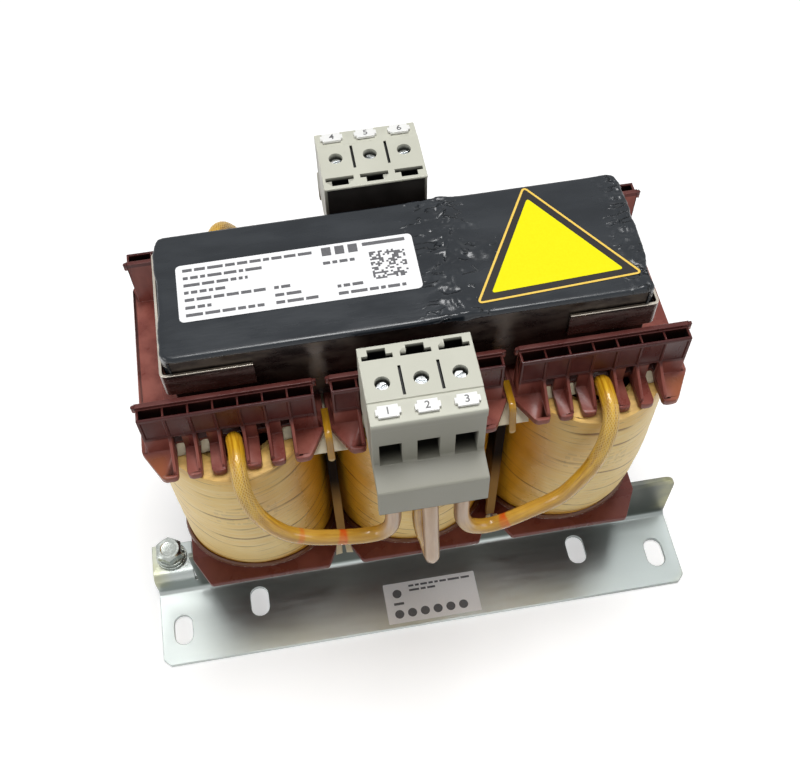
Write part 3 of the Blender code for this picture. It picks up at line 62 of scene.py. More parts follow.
towards_eye = Vector((math.sin(VIEW_AZIMUTH) * math.cos(VIEW_ELEVATION),
                      -math.cos(VIEW_AZIMUTH) * math.cos(VIEW_ELEVATION), math.sin(VIEW_ELEVATION)))
level = Vector((math.cos(VIEW_AZIMUTH), math.sin(VIEW_AZIMUTH), 0.0))
upright = towards_eye.cross(level)
across = level * math.cos(VIEW_ROLL) + upright * math.sin(VIEW_ROLL)
upward = upright * math.cos(VIEW_ROLL) - level * math.sin(VIEW_ROLL)
eye = towards_eye * VIEW_DISTANCE + level * VIEW_ACROSS + upright * VIEW_UP
camera_data = bpy.data.cameras.new("bench_camera")
camera_data.sensor_width = SENSOR_WIDTH
camera_data.lens = VIEW_FOCAL * SENSOR_WIDTH / FRAME_WIDTH
camera_data.shift_x = (FRAME_WIDTH / 2 - VIEW_CENTRE[0]) / FRAME_WIDTH
camera_data.shift_y = (VIEW_CENTRE[1] - FRAME_HEIGHT / 2) / FRAME_WIDTH
camera_data.clip_start = 0.01
camera_data.clip_end = 20.0
camera = bpy.data.objects.new("bench_camera", camera_data)
scene.collection.objects.link(camera)
camera.matrix_world = Matrix((
    (across.x, upward.x, towards_eye.x, eye.x),
    (across.y, upward.y, towards_eye.y, eye.y),
    (across.z, upward.z, towards_eye.z, eye.z),
    (0.0, 0.0, 0.0, 1.0)))
scene.camera = camera

# Large soft lamps stand round the bench and a pale room surrounds it.
# The bench is white and keeps the reactor's soft shadow.
LAMPS = (
    ("lamp_over", (0.06, 0.13, 1.26), 0.5, 11.2),
    ("lamp_left", (-1.05, -0.35, 0.40), 0.5, 3.2),
    ("lamp_right", (1.05, -0.35, 0.45), 0.5, 2.2),
    ("lamp_front", (0.20, -1.20, 0.30), 0.8, 1.0),
)
ROOM_LIGHT = 0.20
BENCH_GLOW = 0.46
BENCH_COLOR = (0.72, 0.72, 0.72, 1.0)
BENCH_HALF = 4.0
BENCH_GAP = 0.0001
LAMPS_AIM = Vector((0.0, 0.0, 0.07))

for lamp_name, lamp_place, lamp_size, lamp_power in LAMPS:
    lamp_data = bpy.data.lights.new(lamp_name, "AREA")
    lamp_data.shape = "SQUARE"
    lamp_data.size = lamp_size
    lamp_data.energy = lamp_power
    lamp = bpy.data.objects.new(lamp_name, lamp_data)
    scene.collection.objects.link(lamp)
    lamp.location = lamp_place
    lamp.rotation_euler = (LAMPS_AIM - lamp.location).to_track_quat("-Z", "Y").to_euler()


def wired(tree, kind, sockets, out=0, **settings):
    """Add a node, set it up, feed its sockets with values or links and give back one output."""
    node = tree.nodes.new(kind)
    for key, value in settings.items():
        setattr(node, key, value)
    for key, value in sockets.items():
        if isinstance(value, bpy.types.NodeSocket):
            tree.links.new(value, node.inputs[key])
        else:
            node.inputs[key].default_value = value
    return node.outputs[out] if node.outputs else None


def seen_straight(tree):
    """Give 1 where the camera sees a surface directly, in a metal or through glass."""
    rays = tree.nodes.new("ShaderNodeLightPath").outputs
    seen = rays["Is Camera Ray"]
    for way in ("Is Glossy Ray", "Is Transmission Ray"):
        seen = wired(tree, "ShaderNodeMath", {0: seen, 1: rays[way]}, operation="MAXIMUM")
    return seen


world = bpy.data.worlds.new("pale_room")
scene.world = world
world.use_nodes = True
room = world.node_tree
room.nodes.clear()
room_level = wired(room, "ShaderNodeMapRange",
                   {"Value": seen_straight(room), "To Min": ROOM_LIGHT, "To Max": 1.0})
room_light = wired(room, "ShaderNodeBackground", {"Strength": room_level})
wired(room, "ShaderNodeOutputWorld", {"Surface": room_light})

bench_form = bmesh.new()
bmesh.ops.create_grid(bench_form, x_segments=1, y_segments=1, size=BENCH_HALF,
                      matrix=Matrix.Translation((0.0, 0.0, -BENCH_GAP)))
bench_mesh = bpy.data.meshes.new("bench")
bench_form.to_mesh(bench_mesh)
bench_form.free()
bench = bpy.data.objects.new("bench", bench_mesh)
scene.collection.objects.link(bench)
bench_white = bpy.data.materials.new("bench_white")
bench_white.use_nodes = True
bench_tree = bench_white.node_tree
bench_tree.nodes.clear()
bench_glow = wired(bench_tree, "ShaderNodeMath", {0: seen_straight(bench_tree), 1: BENCH_GLOW},
                   operation="MULTIPLY")
bench_light = wired(bench_tree, "ShaderNodeEmission", {"Strength": bench_glow})
bench_paint = wired(bench_tree, "ShaderNodeBsdfDiffuse", {"Color": BENCH_COLOR})
bench_both = wired(bench_tree, "ShaderNodeAddShader", {0: bench_paint, 1: bench_light})
wired(bench_tree, "ShaderNodeOutputMaterial", {"Surface": bench_both})
bench_mesh.materials.append(bench_white)


# The core is stacked from punched sheets 0.5 mm thick, bolted flat and dipped in
# brown varnish. The flat sheet shows in front and at the back, the cut edges elsewhere.
SHEET_THICKNESS = 0.0005
COIL_PITCH = 0.060
COAT_ROUGHNESS = 0.12


class Flow:
    """A number or colour on its way through a finish; arithmetic on flows adds Math nodes."""

    def __init__(self, finish, socket):
        self.finish = finish
        self.socket = socket

    def __add__(self, other):
        return self.finish.math("ADD", self, other)

    def __sub__(self, other):
        return self.finish.math("SUBTRACT", self, other)

    def __rsub__(self, other):
        return self.finish.math("SUBTRACT", other, self)

    def __mul__(self, other):
        return self.finish.math("MULTIPLY", self, other)

    def __pow__(self, other):
        return self.finish.math("POWER", self, other)

    def __mod__(self, other):
        return self.finish.math("FLOORED_MODULO", self, other)

    def __gt__(self, other):
        return self.finish.math("GREATER_THAN", self, other)

    def __lt__(self, other):
        return self.finish.math("LESS_THAN", self, other)

    def __abs__(self):
        return self.finish.math("ABSOLUTE", self)

    __radd__ = __add__
    __rmul__ = __mul__


class Finish:
    """A Principled material built from flows."""

    def __init__(self, name, color, roughness, metallic=0.0, coat=0.0, gloss=0.5):
        self.material = bpy.data.materials.new(name)
        self.material.use_nodes = True
        self.material.diffuse_color = (*color, 1.0)
        self.tree = self.material.node_tree
        self.shader = self.tree.nodes["Principled BSDF"]
        for key, value in (("Base Color", (*color, 1.0)), ("Roughness", roughness), ("Metallic", metallic),
                           ("Coat Weight", coat), ("Coat Roughness", COAT_ROUGHNESS),
                           ("Specular IOR Level", gloss)):
            self.shader.inputs[key].default_value = value

    def add(self, kind, sockets, out=0, **settings):
        """Add a node of any kind and give back one output."""
        fed = {key: value.socket if isinstance(value, Flow) else value for key, value in sockets.items()}
        return Flow(self, wired(self.tree, kind, fed, out, **settings))

    def math(self, operation, *values):
        """Add a Math node."""
        return self.add("ShaderNodeMath", dict(enumerate(values)), operation=operation)

    def place(self):
        """Give the point's own place on the reactor, in metres."""
        return self.add("ShaderNodeTexCoord", {}, "Object")

    def show(self, color=None, roughness=None, normal=None, metallic=None):
        """Feed what changes over the surface to the shader."""
        for key, flow in (("Base Color", color), ("Roughness", roughness), ("Normal", normal),
                          ("Metallic", metallic)):
            if flow is not None:
                self.tree.links.new(flow.socket, self.shader.inputs[key])


def axes(vector):
    """Give the three parts of a vector."""
    parts = vector.finish.add("ShaderNodeSeparateXYZ", {0: vector})
    return [Flow(vector.finish, output) for output in parts.socket.node.outputs]


def stretch(vector, x=1.0, y=1.0, z=1.0):
    """Scale a vector along its axes."""
    return vector.finish.add("ShaderNodeVectorMath", {0: vector, 1: (x, y, z)}, operation="MULTIPLY")


def cloud(vector, scale, detail=3.0, rough=0.5):
    """Give soft noise, about 0 to 1."""
    return vector.finish.add("ShaderNodeTexNoise",
                             {"Vector": vector, "Scale": scale, "Detail": detail, "Roughness": rough})


def ease(value, low, high, start=0.0, end=1.0):
    """Bring a value's range low to high to the range start to end, softly."""
    return value.finish.add("ShaderNodeMapRange", {0: value, 1: low, 2: high, 3: start, 4: end},
                            interpolation_type="SMOOTHSTEP")


def tint(mask, first, second):
    """Blend two colours by a mask."""
    first, second = (color if isinstance(color, Flow) else (*color, 1.0) for color in (first, second))
    return mask.finish.add("ShaderNodeMix", {0: mask, 6: first, 7: second}, 2, data_type="RGBA")


def relief(height, distance, strength=1.0):
    """Give a normal bumped by a height; distance is in metres."""
    return height.finish.add("ShaderNodeBump",
                             {"Height": height, "Distance": distance, "Strength": strength})


def striped(value, count):
    """Give stripes, count in a metre, that rise and fall evenly from 0 to 1."""
    return abs((value * count) % 1.0 - 0.5) * 2.0


def dress(node, finish):
    """Give a solid that keeps its shape its finish."""
    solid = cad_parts[node]
    if not solid.data.materials:
        solid.data.materials.append(finish.material)
    for index in range(len(solid.data.materials)):
        solid.data.materials[index] = finish.material


core_finish = Finish("varnished_core_sheets", (0.07, 0.055, 0.045), 0.3, 0.7, 0.0, 0.25)
spot = core_finish.place()
core_x, core_y, core_z = axes(spot)
sheet_edge = striped(core_y, 1.0 / SHEET_THICKNESS)
varnish_blot = cloud(stretch(spot, 1.0, 1.0, 2.2), 90.0, 5.0, 0.6)
core_color = tint(ease(varnish_blot, 0.38, 0.66), (0.035, 0.027, 0.025), (0.085, 0.068, 0.055))
band_place = abs(abs(core_x) - COIL_PITCH / 2)
worn_band = (ease(band_place + varnish_blot * 0.006, 0.0062, 0.0036)
             * ease(core_z, 0.134, 0.136) * ease(abs(core_y), 0.0234, 0.0237))
core_color = tint(worn_band * 0.5, core_color, (0.115, 0.095, 0.080))
core_finish.show(
    color=tint(sheet_edge * 0.35, core_color, (0.02, 0.016, 0.014)),
    roughness=ease(varnish_blot, 0.3, 0.7, 0.22, 0.42),
    normal=relief(sheet_edge + varnish_blot * 0.3, 0.00012, 0.8))
dress("core_e_stack", core_finish)
dress("core_top_yoke", core_finish)

# Three pads of insulating board fill the air gaps between the legs and the yoke.
# They are cut from pressed board and held by the clips' pull.
SIDES = ("left", "middle", "right")


def grained(finish, scale, detail, first, second, bump=None, rough=None, along=1.0):
    """Finish a plain material with one grain that changes its colour and may bump and roughen it."""
    grain = cloud(stretch(finish.place(), 1.0, 1.0, along), scale, detail)
    finish.show(color=tint(grain, first, second),
                roughness=ease(grain, 0.3, 0.7, *rough) if rough else None,
                normal=relief(grain, *bump) if bump else None)
    return finish


gap_finish = grained(Finish("pressed_board", (0.62, 0.52, 0.34), 0.75), 700.0, 4.0, (0.54, 0.44, 0.27),
                     (0.70, 0.60, 0.41), (0.0001, 0.6), along=6.0)
for side in SIDES:
    dress("gap_spacer_" + side, gap_finish)

# Each coil is wound on a bobbin moulded in glass-filled red-brown plastic.
# Combs along its front and rear edge hold the leads apart and carry the terminals.
EDGE_SOFTNESS = 0.00025
WELD = 0.000002
STRIP_INSIDE = 0.0269
FLAT_ANGLE = math.radians(0.6)
SHARP_ANGLE = math.radians(30)


def copied(node):
    """Give a form with a node's shape, its loose triangles joined."""
    form = bmesh.new()
    form.from_mesh(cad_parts[node].data)
    bmesh.ops.remove_doubles(form, verts=form.verts, dist=WELD)
    return form


def merged(node):
    """Give a form with a node's shape, whose flat faces are whole."""
    form = copied(node)
    bmesh.ops.dissolve_limit(form, angle_limit=FLAT_ANGLE, verts=form.verts, edges=form.edges)
    return form


def fitted(name, form, finish, slot, *nodes, angle=35.0):
    """Make a form a piece of the reactor, which may stand for solids."""
    mesh = bpy.data.meshes.new(name)
    form.to_mesh(mesh)
    form.free()
    mesh.materials.append(finish.material)
    mesh.shade_smooth()
    mesh.set_sharp_from_angle(angle=math.radians(angle))
    made = bpy.data.objects.new(name, mesh)
    scene.collection.objects.link(made)
    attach(made, "root")
    if nodes:
        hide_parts(*nodes)
    return made


def soften(made, width):
    """Round a piece's sharp edges."""
    edges = made.modifiers.new("soft_edges", "BEVEL")
    edges.width = width
    edges.segments = 2
    edges.limit_method = "ANGLE"
    edges.angle_limit = SHARP_ANGLE
    edges.harden_normals = True
    edges.use_clamp_overlap = False


def off_coil(x):
    """Give the distance along the core from the middle of the nearest coil."""
    return (x + 1.5 * COIL_PITCH) % COIL_PITCH - COIL_PITCH / 2


def larger(first, second):
    """Give the larger of two flows."""
    return first.finish.math("MAXIMUM", first, second)


def zone(value, start, full, ebb, end):
    """Rise softly from 0 to 1 between start and full, and fall again between ebb and end."""
    return ease(value, start, full) * ease(value, end, ebb)


bobbin_finish = Finish("moulded_red_brown", (0.16, 0.045, 0.04), 0.3, 0.0, 0.03, 0.24)
spot = bobbin_finish.place()
bobbin_x, bobbin_y, bobbin_z = axes(spot)
bobbin_flow = cloud(stretch(spot, 1.0, 1.0, 0.35), 110.0, 4.0, 0.55)
bobbin_grain = cloud(spot, 2600.0, 2.0)
from_front = abs(bobbin_y)
inside_ends = abs(off_coil(bobbin_x)) < STRIP_INSIDE
# Painted shade: the pockets of the comb strips and the gap behind their teeth are darkened nearly to black.
pocket_shade = (zone(from_front, 0.0292, 0.0297, 0.0328, 0.0334) * zone(bobbin_z, 0.130, 0.133, 0.1434, 0.1441)
             * inside_ends)
shade_behind_teeth = (zone(from_front, 0.0279, 0.0282, 0.0325, 0.0331)
                * zone(bobbin_z, 0.1261, 0.1264, 0.1325, 0.134) * inside_ends)
varnish_run = (ease(abs(bobbin_x), 0.079, 0.084) * ease(from_front, 0.034, 0.037)
               * zone(bobbin_z, 0.110, 0.118, 0.129, 0.132))
bobbin_color = tint(ease(bobbin_flow, 0.35, 0.68), (0.185, 0.047, 0.036), (0.285, 0.090, 0.068))
# Painted shade: the lower flange, under the coil, is darker.
lower_flange_shade = ease(bobbin_z, 0.060, 0.045)
bobbin_color = tint(lower_flange_shade * 0.6, bobbin_color, (0.125, 0.036, 0.032))
bobbin_color = tint(varnish_run * 0.6, bobbin_color, (0.34, 0.105, 0.032))
# Painted shade: the top rim of the comb strips is darkened.
shaded_top_rim = ease(bobbin_z, 0.1436, 0.1440)
bobbin_color = tint(shaded_top_rim * 0.72, bobbin_color, (0.060, 0.014, 0.014))
# Painted shade: the front wall of each comb strip is darkened.
shaded_strip_wall = ease(from_front, 0.0327, 0.0331) * ease(bobbin_z, 0.1318, 0.1330)
bobbin_color = tint(shaded_strip_wall * 0.80, bobbin_color, (0.045, 0.006, 0.006))
bobbin_finish.show(
    color=tint(larger(pocket_shade, shade_behind_teeth * 0.8), bobbin_color, (0.006, 0.003, 0.003)),
    roughness=ease(bobbin_flow, 0.3, 0.7, 0.24, 0.40),
    normal=relief(bobbin_grain + bobbin_flow * 2.0, 0.00004, 0.6))
for side in SIDES:
    soften(fitted("moulded_bobbin_" + side, copied("bobbin_" + side), bobbin_finish, "bobbin_plastic",
                  "bobbin_" + side), EDGE_SOFTNESS)

# The coils are wound from round enamelled copper wire in close layers.
# Paper is tucked in over the top and bottom turns and soaked in varnish with them.
WRAP_FOOT = 0.0352
WRAP_HEAD = 0.1231
WRAP_HALF_WIDTH = 0.0293
WRAP_STRAIGHT = 0.011
WRAP_REACHES = (0.0245, 0.0365, 0.037)
WIRE_DEEP = 0.0015
WIRE_TURNS = 400.0
LAYERS_THICKNESS = 0.006
WRAP_SEGMENTS = 120
WRAP_ROWS = 34
WRAP_TUCK = (0.0, 0.0006, 0.0016, 0.0030, 0.0050, 0.0080)
WRAP_SLACK = 0.00024
WRAP_EDGE_IN = 0.0005
COIL_PLACES = {"left": -COIL_PITCH, "middle": 0.0, "right": COIL_PITCH}


def coil_point(coil_x, turn, height, out):
    """Give the point of a coil's outside at a turn round it and a height."""
    share = (height - WRAP_FOOT) / (WRAP_HEAD - WRAP_FOOT)
    foot, middle, head = WRAP_REACHES
    reach = (foot * (1 - share) * (1 - 2 * share) + middle * 4 * share * (1 - share)
             + head * share * (2 * share - 1))
    side = math.copysign(1.0, math.sin(turn))
    return Vector((coil_x + (WRAP_HALF_WIDTH + out) * math.cos(turn),
                   side * (WRAP_STRAIGHT + (reach + out) * abs(math.sin(turn))), height))


def drawn_out(form, edges):
    """Extrude edges and give the new points, and the new edges between them."""
    grown = bmesh.ops.extrude_edge_only(form, edges=edges)["geom"]
    fresh = {part for part in grown if isinstance(part, bmesh.types.BMVert)}
    return fresh, [part for part in grown if isinstance(part, bmesh.types.BMEdge)
                   and all(vert in fresh for vert in part.verts)]


def walled(made, thickness, offset=0.0):
    """Give a piece made of a sheet its thickness."""
    wall = made.modifiers.new("wall", "SOLIDIFY")
    wall.thickness = thickness
    wall.offset = offset


def wrapped_barrel(coil_x, seed, deep=0.0):
    """Shape a coil's jacket, or what lies deep under it, from a ring that is drawn up row by row."""
    form = bmesh.new()
    half_step = Matrix.Rotation(math.pi / WRAP_SEGMENTS, 4, "Z")
    bmesh.ops.create_circle(form, segments=WRAP_SEGMENTS, radius=1.0, matrix=half_step)
    edges = list(form.edges)
    for row in range(1, WRAP_ROWS + len(WRAP_TUCK)):
        fresh, edges = drawn_out(form, edges)
        for vert in fresh:
            vert.co.z = row
    for vert in form.verts:
        turn = math.atan2(vert.co.y, vert.co.x)
        row = round(vert.co.z)
        tucked_in = WRAP_TUCK[max(row - WRAP_ROWS, 0)]
        height = WRAP_FOOT + (WRAP_HEAD - WRAP_FOOT) * min(row, WRAP_ROWS) / WRAP_ROWS
        slack = noise.noise(Vector((math.cos(turn) * 1.5, math.sin(turn) * 1.5, height * 130.0 + seed)))
        edge_turn = max(0.0, 1 - (height - WRAP_FOOT) / 0.004) + max(0.0, 1 - (WRAP_HEAD - height) / 0.003)
        vert.co = coil_point(coil_x, turn, height,
                             slack * WRAP_SLACK - edge_turn ** 2 * WRAP_EDGE_IN - tucked_in - deep)
        if tucked_in > 0.0:
            wave = noise.noise(Vector((vert.co.x * 260.0, vert.co.y * 260.0, seed)))
            vert.co.z -= deep * 0.2 + 0.0004 * wave ** 2
    bmesh.ops.recalc_face_normals(form, faces=form.faces)
    rightmost = max(form.faces, key=lambda face: face.calc_center_median().x)
    if rightmost.normal.x < 0.0:
        bmesh.ops.reverse_faces(form, faces=form.faces)
    return form


copper_finish = Finish("enamelled_copper", (0.72, 0.32, 0.15), 0.3, 0.0, 0.3)
spot = copper_finish.place()
turn_z = axes(spot)[2]
turn_round = striped(turn_z, WIRE_TURNS)
tucked = larger(ease(turn_z, 0.1205, 0.1212), ease(turn_z, 0.0375, 0.0368))
paper_edge = cloud(stretch(spot, 1.0, 0.6, 1.0), 420.0, 3.0)
copper_color = tint(turn_round, (0.60, 0.25, 0.10), (0.30, 0.11, 0.05))
tucked_color = tint(ease(paper_edge, 0.40, 0.62), (0.16, 0.075, 0.015), (0.50, 0.32, 0.10))
copper_finish.show(color=tint(tucked, copper_color, tucked_color),
                   metallic=(1.0 - tucked) * 0.9,
                   normal=relief(1.0 - turn_round ** 2.0 + tucked * paper_edge, 0.0006))
for side, coil_x in COIL_PLACES.items():
    walled(fitted("wound_coil_" + side, wrapped_barrel(coil_x, 0.0, WIRE_DEEP), copper_finish,
                  "winding_copper", "winding_" + side), LAYERS_THICKNESS, -1.0)

# A long strip of insulating paper is wound over each coil, lapped turn on turn,
# and soaked in varnish, which stays cream in front and pools amber at the sides.
# On the sides that face another coil the amber is partly varnish and partly painted shade.
PAPER_THICKNESS = 0.0012
STAMP_HEIGHT = 0.1005
STAMP_ROWS = 330.0
STAMP_COLUMNS = 1100.0
LAPS = 118.0


def joined(x, y, z):
    """Make a vector of three numbers."""
    return x.finish.add("ShaderNodeCombineXYZ", {0: x, 1: y, 2: z})


wrap_finish = Finish("varnished_wrap_paper", (0.62, 0.42, 0.17), 0.34, 0.0, 0.08, 0.3)
spot = wrap_finish.place()
wrap_x, wrap_y, wrap_z = axes(spot)
across_coil = off_coil(wrap_x)
wrap_cloud = cloud(stretch(spot, 1.0, 1.0, 2.0), 28.0, 4.0)
wrap_sag = cloud(spot, 22.0, 1.0)
wrinkle = cloud(stretch(spot, 1.0, 1.0, 11.0), 95.0, 5.0, 0.6)
lap_place = wrap_z * LAPS + across_coil * 9.0 + wrap_sag * 2.6
lap = lap_place % 1.0
lap_strength = ease(cloud(stretch(spot, 1.0, 1.0, 5.0), 34.0, 2.0), 0.42, 0.62)
lap_line = ease(lap, 0.80, 0.975) * lap_strength
fine_lap = (lap_place * 3.0) % 1.0
fine_line = ease(fine_lap, 0.86, 0.98) * ease(wrinkle, 0.5, 0.62)
# Painted shade in part: the sides facing another coil turn amber, partly the varnish's colour and partly
# shade between the coils.
inner_side = ease(abs(wrap_x), 0.078, 0.064)
side_amber_and_shade = ease(abs(across_coil) + wrap_cloud * 0.012, 0.0165, 0.0300) * inner_side
amber_ends = larger(ease(wrap_z + wrap_cloud * 0.010, 0.0560, 0.0430),
                    ease(wrap_z + wrap_cloud * 0.016, 0.1235, 0.1310) * 0.35)
amber = larger(side_amber_and_shade, amber_ends)
cream = tint(wrap_cloud, (0.80, 0.54, 0.170), (0.93, 0.69, 0.265))
cream = tint(ease(wrinkle, 0.35, 0.75) * 0.5, cream, (0.92, 0.77, 0.42))
stamp_rows = (ease((wrap_z * STAMP_ROWS) % 1.0, 0.30, 0.38) * (abs(wrap_z - STAMP_HEIGHT) < 0.0048)
              * (abs(across_coil + 0.001) < 0.0105) * (wrap_y < 0.0))
stamp_place = joined(wrap_finish.math("FLOOR", across_coil * STAMP_COLUMNS),
                     wrap_finish.math("FLOOR", wrap_z * STAMP_ROWS), 0.0)
stamp_cells = wrap_finish.add("ShaderNodeTexWhiteNoise", {"Vector": stamp_place}, noise_dimensions="2D")
stamp = stamp_rows * (stamp_cells > 0.35)
wrap_color = tint(amber * 0.94, cream, (0.70, 0.33, 0.008))
tucked_top = ease(wrap_z, 0.1229, 0.1233)
tucked_crease = cloud(stretch(spot, 1.0, 2.6, 1.0), 210.0, 3.0)
tucked_color = tint(ease(tucked_crease, 0.40, 0.62), (0.20, 0.085, 0.014), (0.52, 0.32, 0.10))
wrap_color = tint(tucked_top * 0.85, wrap_color, tucked_color)
wrap_color = tint(stamp * 0.16, wrap_color, (0.16, 0.12, 0.09))
wrap_color = tint(larger(lap_line * 0.9, fine_line * 0.55), wrap_color, (0.21, 0.085, 0.012))
wrap_finish.show(
    color=wrap_color,
    roughness=ease(amber + wrinkle * 0.4, 0.1, 1.1, 0.46, 0.22),
    normal=relief(lap * 0.45 + wrinkle * 0.35 + fine_lap * 0.1, 0.0006, 0.75))
for side, coil_x in COIL_PLACES.items():
    walled(fitted("paper_jacket_" + side, wrapped_barrel(coil_x, coil_x * 300.0), wrap_finish, "wrap_paper",
                  "winding_wrap_" + side), PAPER_THICKNESS, -1.0)

# Varnish stands in a bead where each jacket meets the lower flange of its bobbin.
# It dried to amber with pale froth along its edge.
BEAD_RADIUS = 0.0011
BEAD_SIDES = 8
BEAD_RIPPLE = 0.00008
TURN_STEPS = 96


def frames_along(points):
    """Give a place and a steady turn at each point of a route."""
    frames = []
    normal = None
    for index, point in enumerate(points):
        ahead = points[min(index + 1, len(points) - 1)] - points[max(index - 1, 0)]
        ahead.normalize()
        if normal is None:
            normal = ahead.orthogonal().normalized()
        normal = (normal - ahead * normal.dot(ahead)).normalized()
        beside = ahead.cross(normal)
        turned = Matrix((normal, beside, ahead)).transposed().to_4x4()
        frames.append(Matrix.Translation(point) @ turned)
    return frames


def rooted(vert, fresh):
    """Give the point that a new point was drawn from."""
    return next(edge.other_vert(vert) for edge in vert.link_edges if edge.other_vert(vert) not in fresh)


def swept(points, radius, around):
    """Draw a round section along a route; its UV map holds the run in metres and the turn round it."""
    form = bmesh.new()
    frames = frames_along(points)
    ring = bmesh.ops.create_circle(form, cap_ends=True, segments=around, radius=radius)["verts"]
    bmesh.ops.transform(form, matrix=frames[0], verts=ring)
    chart = form.loops.layers.uv.verify()
    known = {vert: (0.0, index) for index, vert in enumerate(ring)}
    edges = list({edge for vert in ring for edge in vert.link_edges})
    run = 0.0
    for before, after in zip(frames, frames[1:]):
        run += (after.translation - before.translation).length
        home = before.inverted()
        fresh, edges = drawn_out(form, edges)
        for vert in fresh:
            known[vert] = (run, known[rooted(vert, fresh)][1])
        bmesh.ops.transform(form, matrix=after @ home, verts=list(fresh))
        for face in {face for edge in edges for face in edge.link_faces}:
            turns = [known[loop.vert][1] for loop in face.loops]
            wraps = max(turns) - min(turns) > 1
            for loop in face.loops:
                length, turn = known[loop.vert]
                loop[chart].uv = (length, (turn + (around if wraps and turn == 0 else 0)) / around)
    bmesh.ops.contextual_create(form, geom=edges)
    bmesh.ops.recalc_face_normals(form, faces=form.faces)
    return form


froth_finish = Finish("varnish_bead", (0.50, 0.32, 0.12), 0.25, 0.0, 0.6)
spot = froth_finish.place()
froth = cloud(spot, 900.0, 3.0)
froth_z = axes(spot)[2]
froth_line = ease(froth_z + froth * 0.0012, 0.0362, 0.0357)
froth_finish.show(color=tint(froth_line, (0.16, 0.055, 0.02), (0.66, 0.56, 0.46)),
                  normal=relief(froth, 0.0003, 0.8))
for side, coil_x in COIL_PLACES.items():
    bead_route = [coil_point(coil_x, math.pi / 2 + 2 * math.pi * step / TURN_STEPS,
                             WRAP_FOOT + 0.0002, 0.0006) for step in range(TURN_STEPS + 1)]
    bead_route = [point + Vector((0.0, 0.0, BEAD_RIPPLE * math.sin(index * 2.3)))
                  for index, point in enumerate(bead_route)]
    fitted("varnish_bead_" + side, swept(bead_route, BEAD_RADIUS, BEAD_SIDES), froth_finish,
           "wrap_paper")

# Boards of cream paper stand between the coils, with a folded edge, and cream lips
# stick out under the upper flanges. More paper shows in the bobbins' gaps.
FLAP_PLACES = (-0.0171, -0.0092, 0.0172)
barrier_finish = Finish("cream_paper", (0.66, 0.58, 0.38), 0.8, 0.0, 0.0, 0.05)
spot = barrier_finish.place()
barrier_z = axes(spot)[2]
paper_fibre = cloud(stretch(spot, 1.0, 1.0, 3.0), 380.0, 4.0, 0.6)
paper_stain = cloud(spot, 60.0, 2.0)
deep = ease(barrier_z, 0.1165, 0.1140)
deeper = ease(barrier_z, 0.058, 0.084)
barrier_color = tint(paper_fibre, (0.95, 0.88, 0.62), (0.98, 0.94, 0.76))
barrier_color = tint(ease(paper_stain, 0.55, 0.80) * 0.4, barrier_color, (0.60, 0.42, 0.16))
shaded_color = tint(deeper, (0.34, 0.19, 0.060), (0.008, 0.004, 0.002))
barrier_finish.show(color=tint(deep, barrier_color, shaded_color), normal=relief(paper_fibre, 0.00012, 0.6))
for side in ("left", "right"):
    dress("phase_barrier_" + side, barrier_finish)


def bent_card(form, corners, bulge):
    """Add a small card of paper between four corners, bowed a little."""
    lower_left, lower_right, upper_right, upper_left = [Vector(corner) for corner in corners]
    sheet = bmesh.ops.create_grid(form, x_segments=6, y_segments=6, size=0.5)["verts"]
    way = (lower_right - lower_left).cross(upper_left - lower_left).normalized()
    for vert in sheet:
        u, v = vert.co.x + 0.5, vert.co.y + 0.5
        flat = lower_left.lerp(lower_right, u).lerp(upper_left.lerp(upper_right, u), v)
        vert.co = flat + way * bulge * (1 - (2 * u - 1) ** 2) * (0.3 + 0.7 * v)


flap_finish = grained(Finish("white_paper", (0.66, 0.60, 0.42), 0.55), 500.0, 4.0, (0.58, 0.50, 0.32),
                      (0.74, 0.68, 0.50), (0.0001, 0.6))
flaps = bmesh.new()
for coil_x in COIL_PLACES.values():
    for face in (-1, 1):
        for place in FLAP_PLACES:
            bent_card(flaps, ((coil_x + place - 0.0017, face * 0.0352, 0.1232),
                              (coil_x + place + 0.0017, face * 0.0349, 0.1234),
                              (coil_x + place + 0.0015, face * 0.0286, 0.1262),
                              (coil_x + place - 0.0015, face * 0.0288, 0.1258)), bulge=0.0005)
for gap_x in (-COIL_PITCH / 2, COIL_PITCH / 2):
    for face in (-1, 1):
        for lean in (-1, 1):
            bent_card(flaps, ((gap_x + lean * 0.0034, face * 0.0372, 0.0353),
                              (gap_x + lean * 0.0008, face * 0.0368, 0.0353),
                              (gap_x + lean * 0.0006, face * 0.0318, 0.0382),
                              (gap_x + lean * 0.0022, face * 0.0318, 0.0382)), bulge=0.0004)
walled(fitted("tucked_papers", flaps, flap_finish, "barrier_paper"), thickness=0.0002)

# Narrow strips of varnished board are bent over the joint between two bobbins.
# They hold the boards down and end in a rounded tongue that the light shines through.
band_finish = Finish("amber_strip", (0.52, 0.30, 0.04), 0.22, 0.0, 0.3, 0.4)
spot = band_finish.place()
band_x, band_z = axes(spot)[::2]
band_cloud = cloud(spot, 240.0, 3.0)
band_side = abs(abs(band_x) - COIL_PITCH / 2)
pale_rim = larger(ease(band_side, 0.0009, 0.0013) * 0.7, ease(band_z, 0.1178, 0.1162))
band_color = tint(band_cloud, (0.36, 0.165, 0.004), (0.52, 0.27, 0.012))
band_finish.show(color=tint(pale_rim * 0.6, band_color, (0.74, 0.58, 0.22)),
                 normal=relief(band_cloud, 0.0001, 0.4))
BAND_LINE = ((0.0280, 0.12705), (0.0372, 0.12705), (0.0384, 0.12640), (0.0390, 0.12510), (0.0398, 0.12160),
             (0.0409, 0.11720), (0.0412, 0.11600))
BAND_HALF_WIDTH = 0.00105
BAND_THICKNESS = 0.0007
BAND_STEPS = 48
BAND_DOME = 0.00030


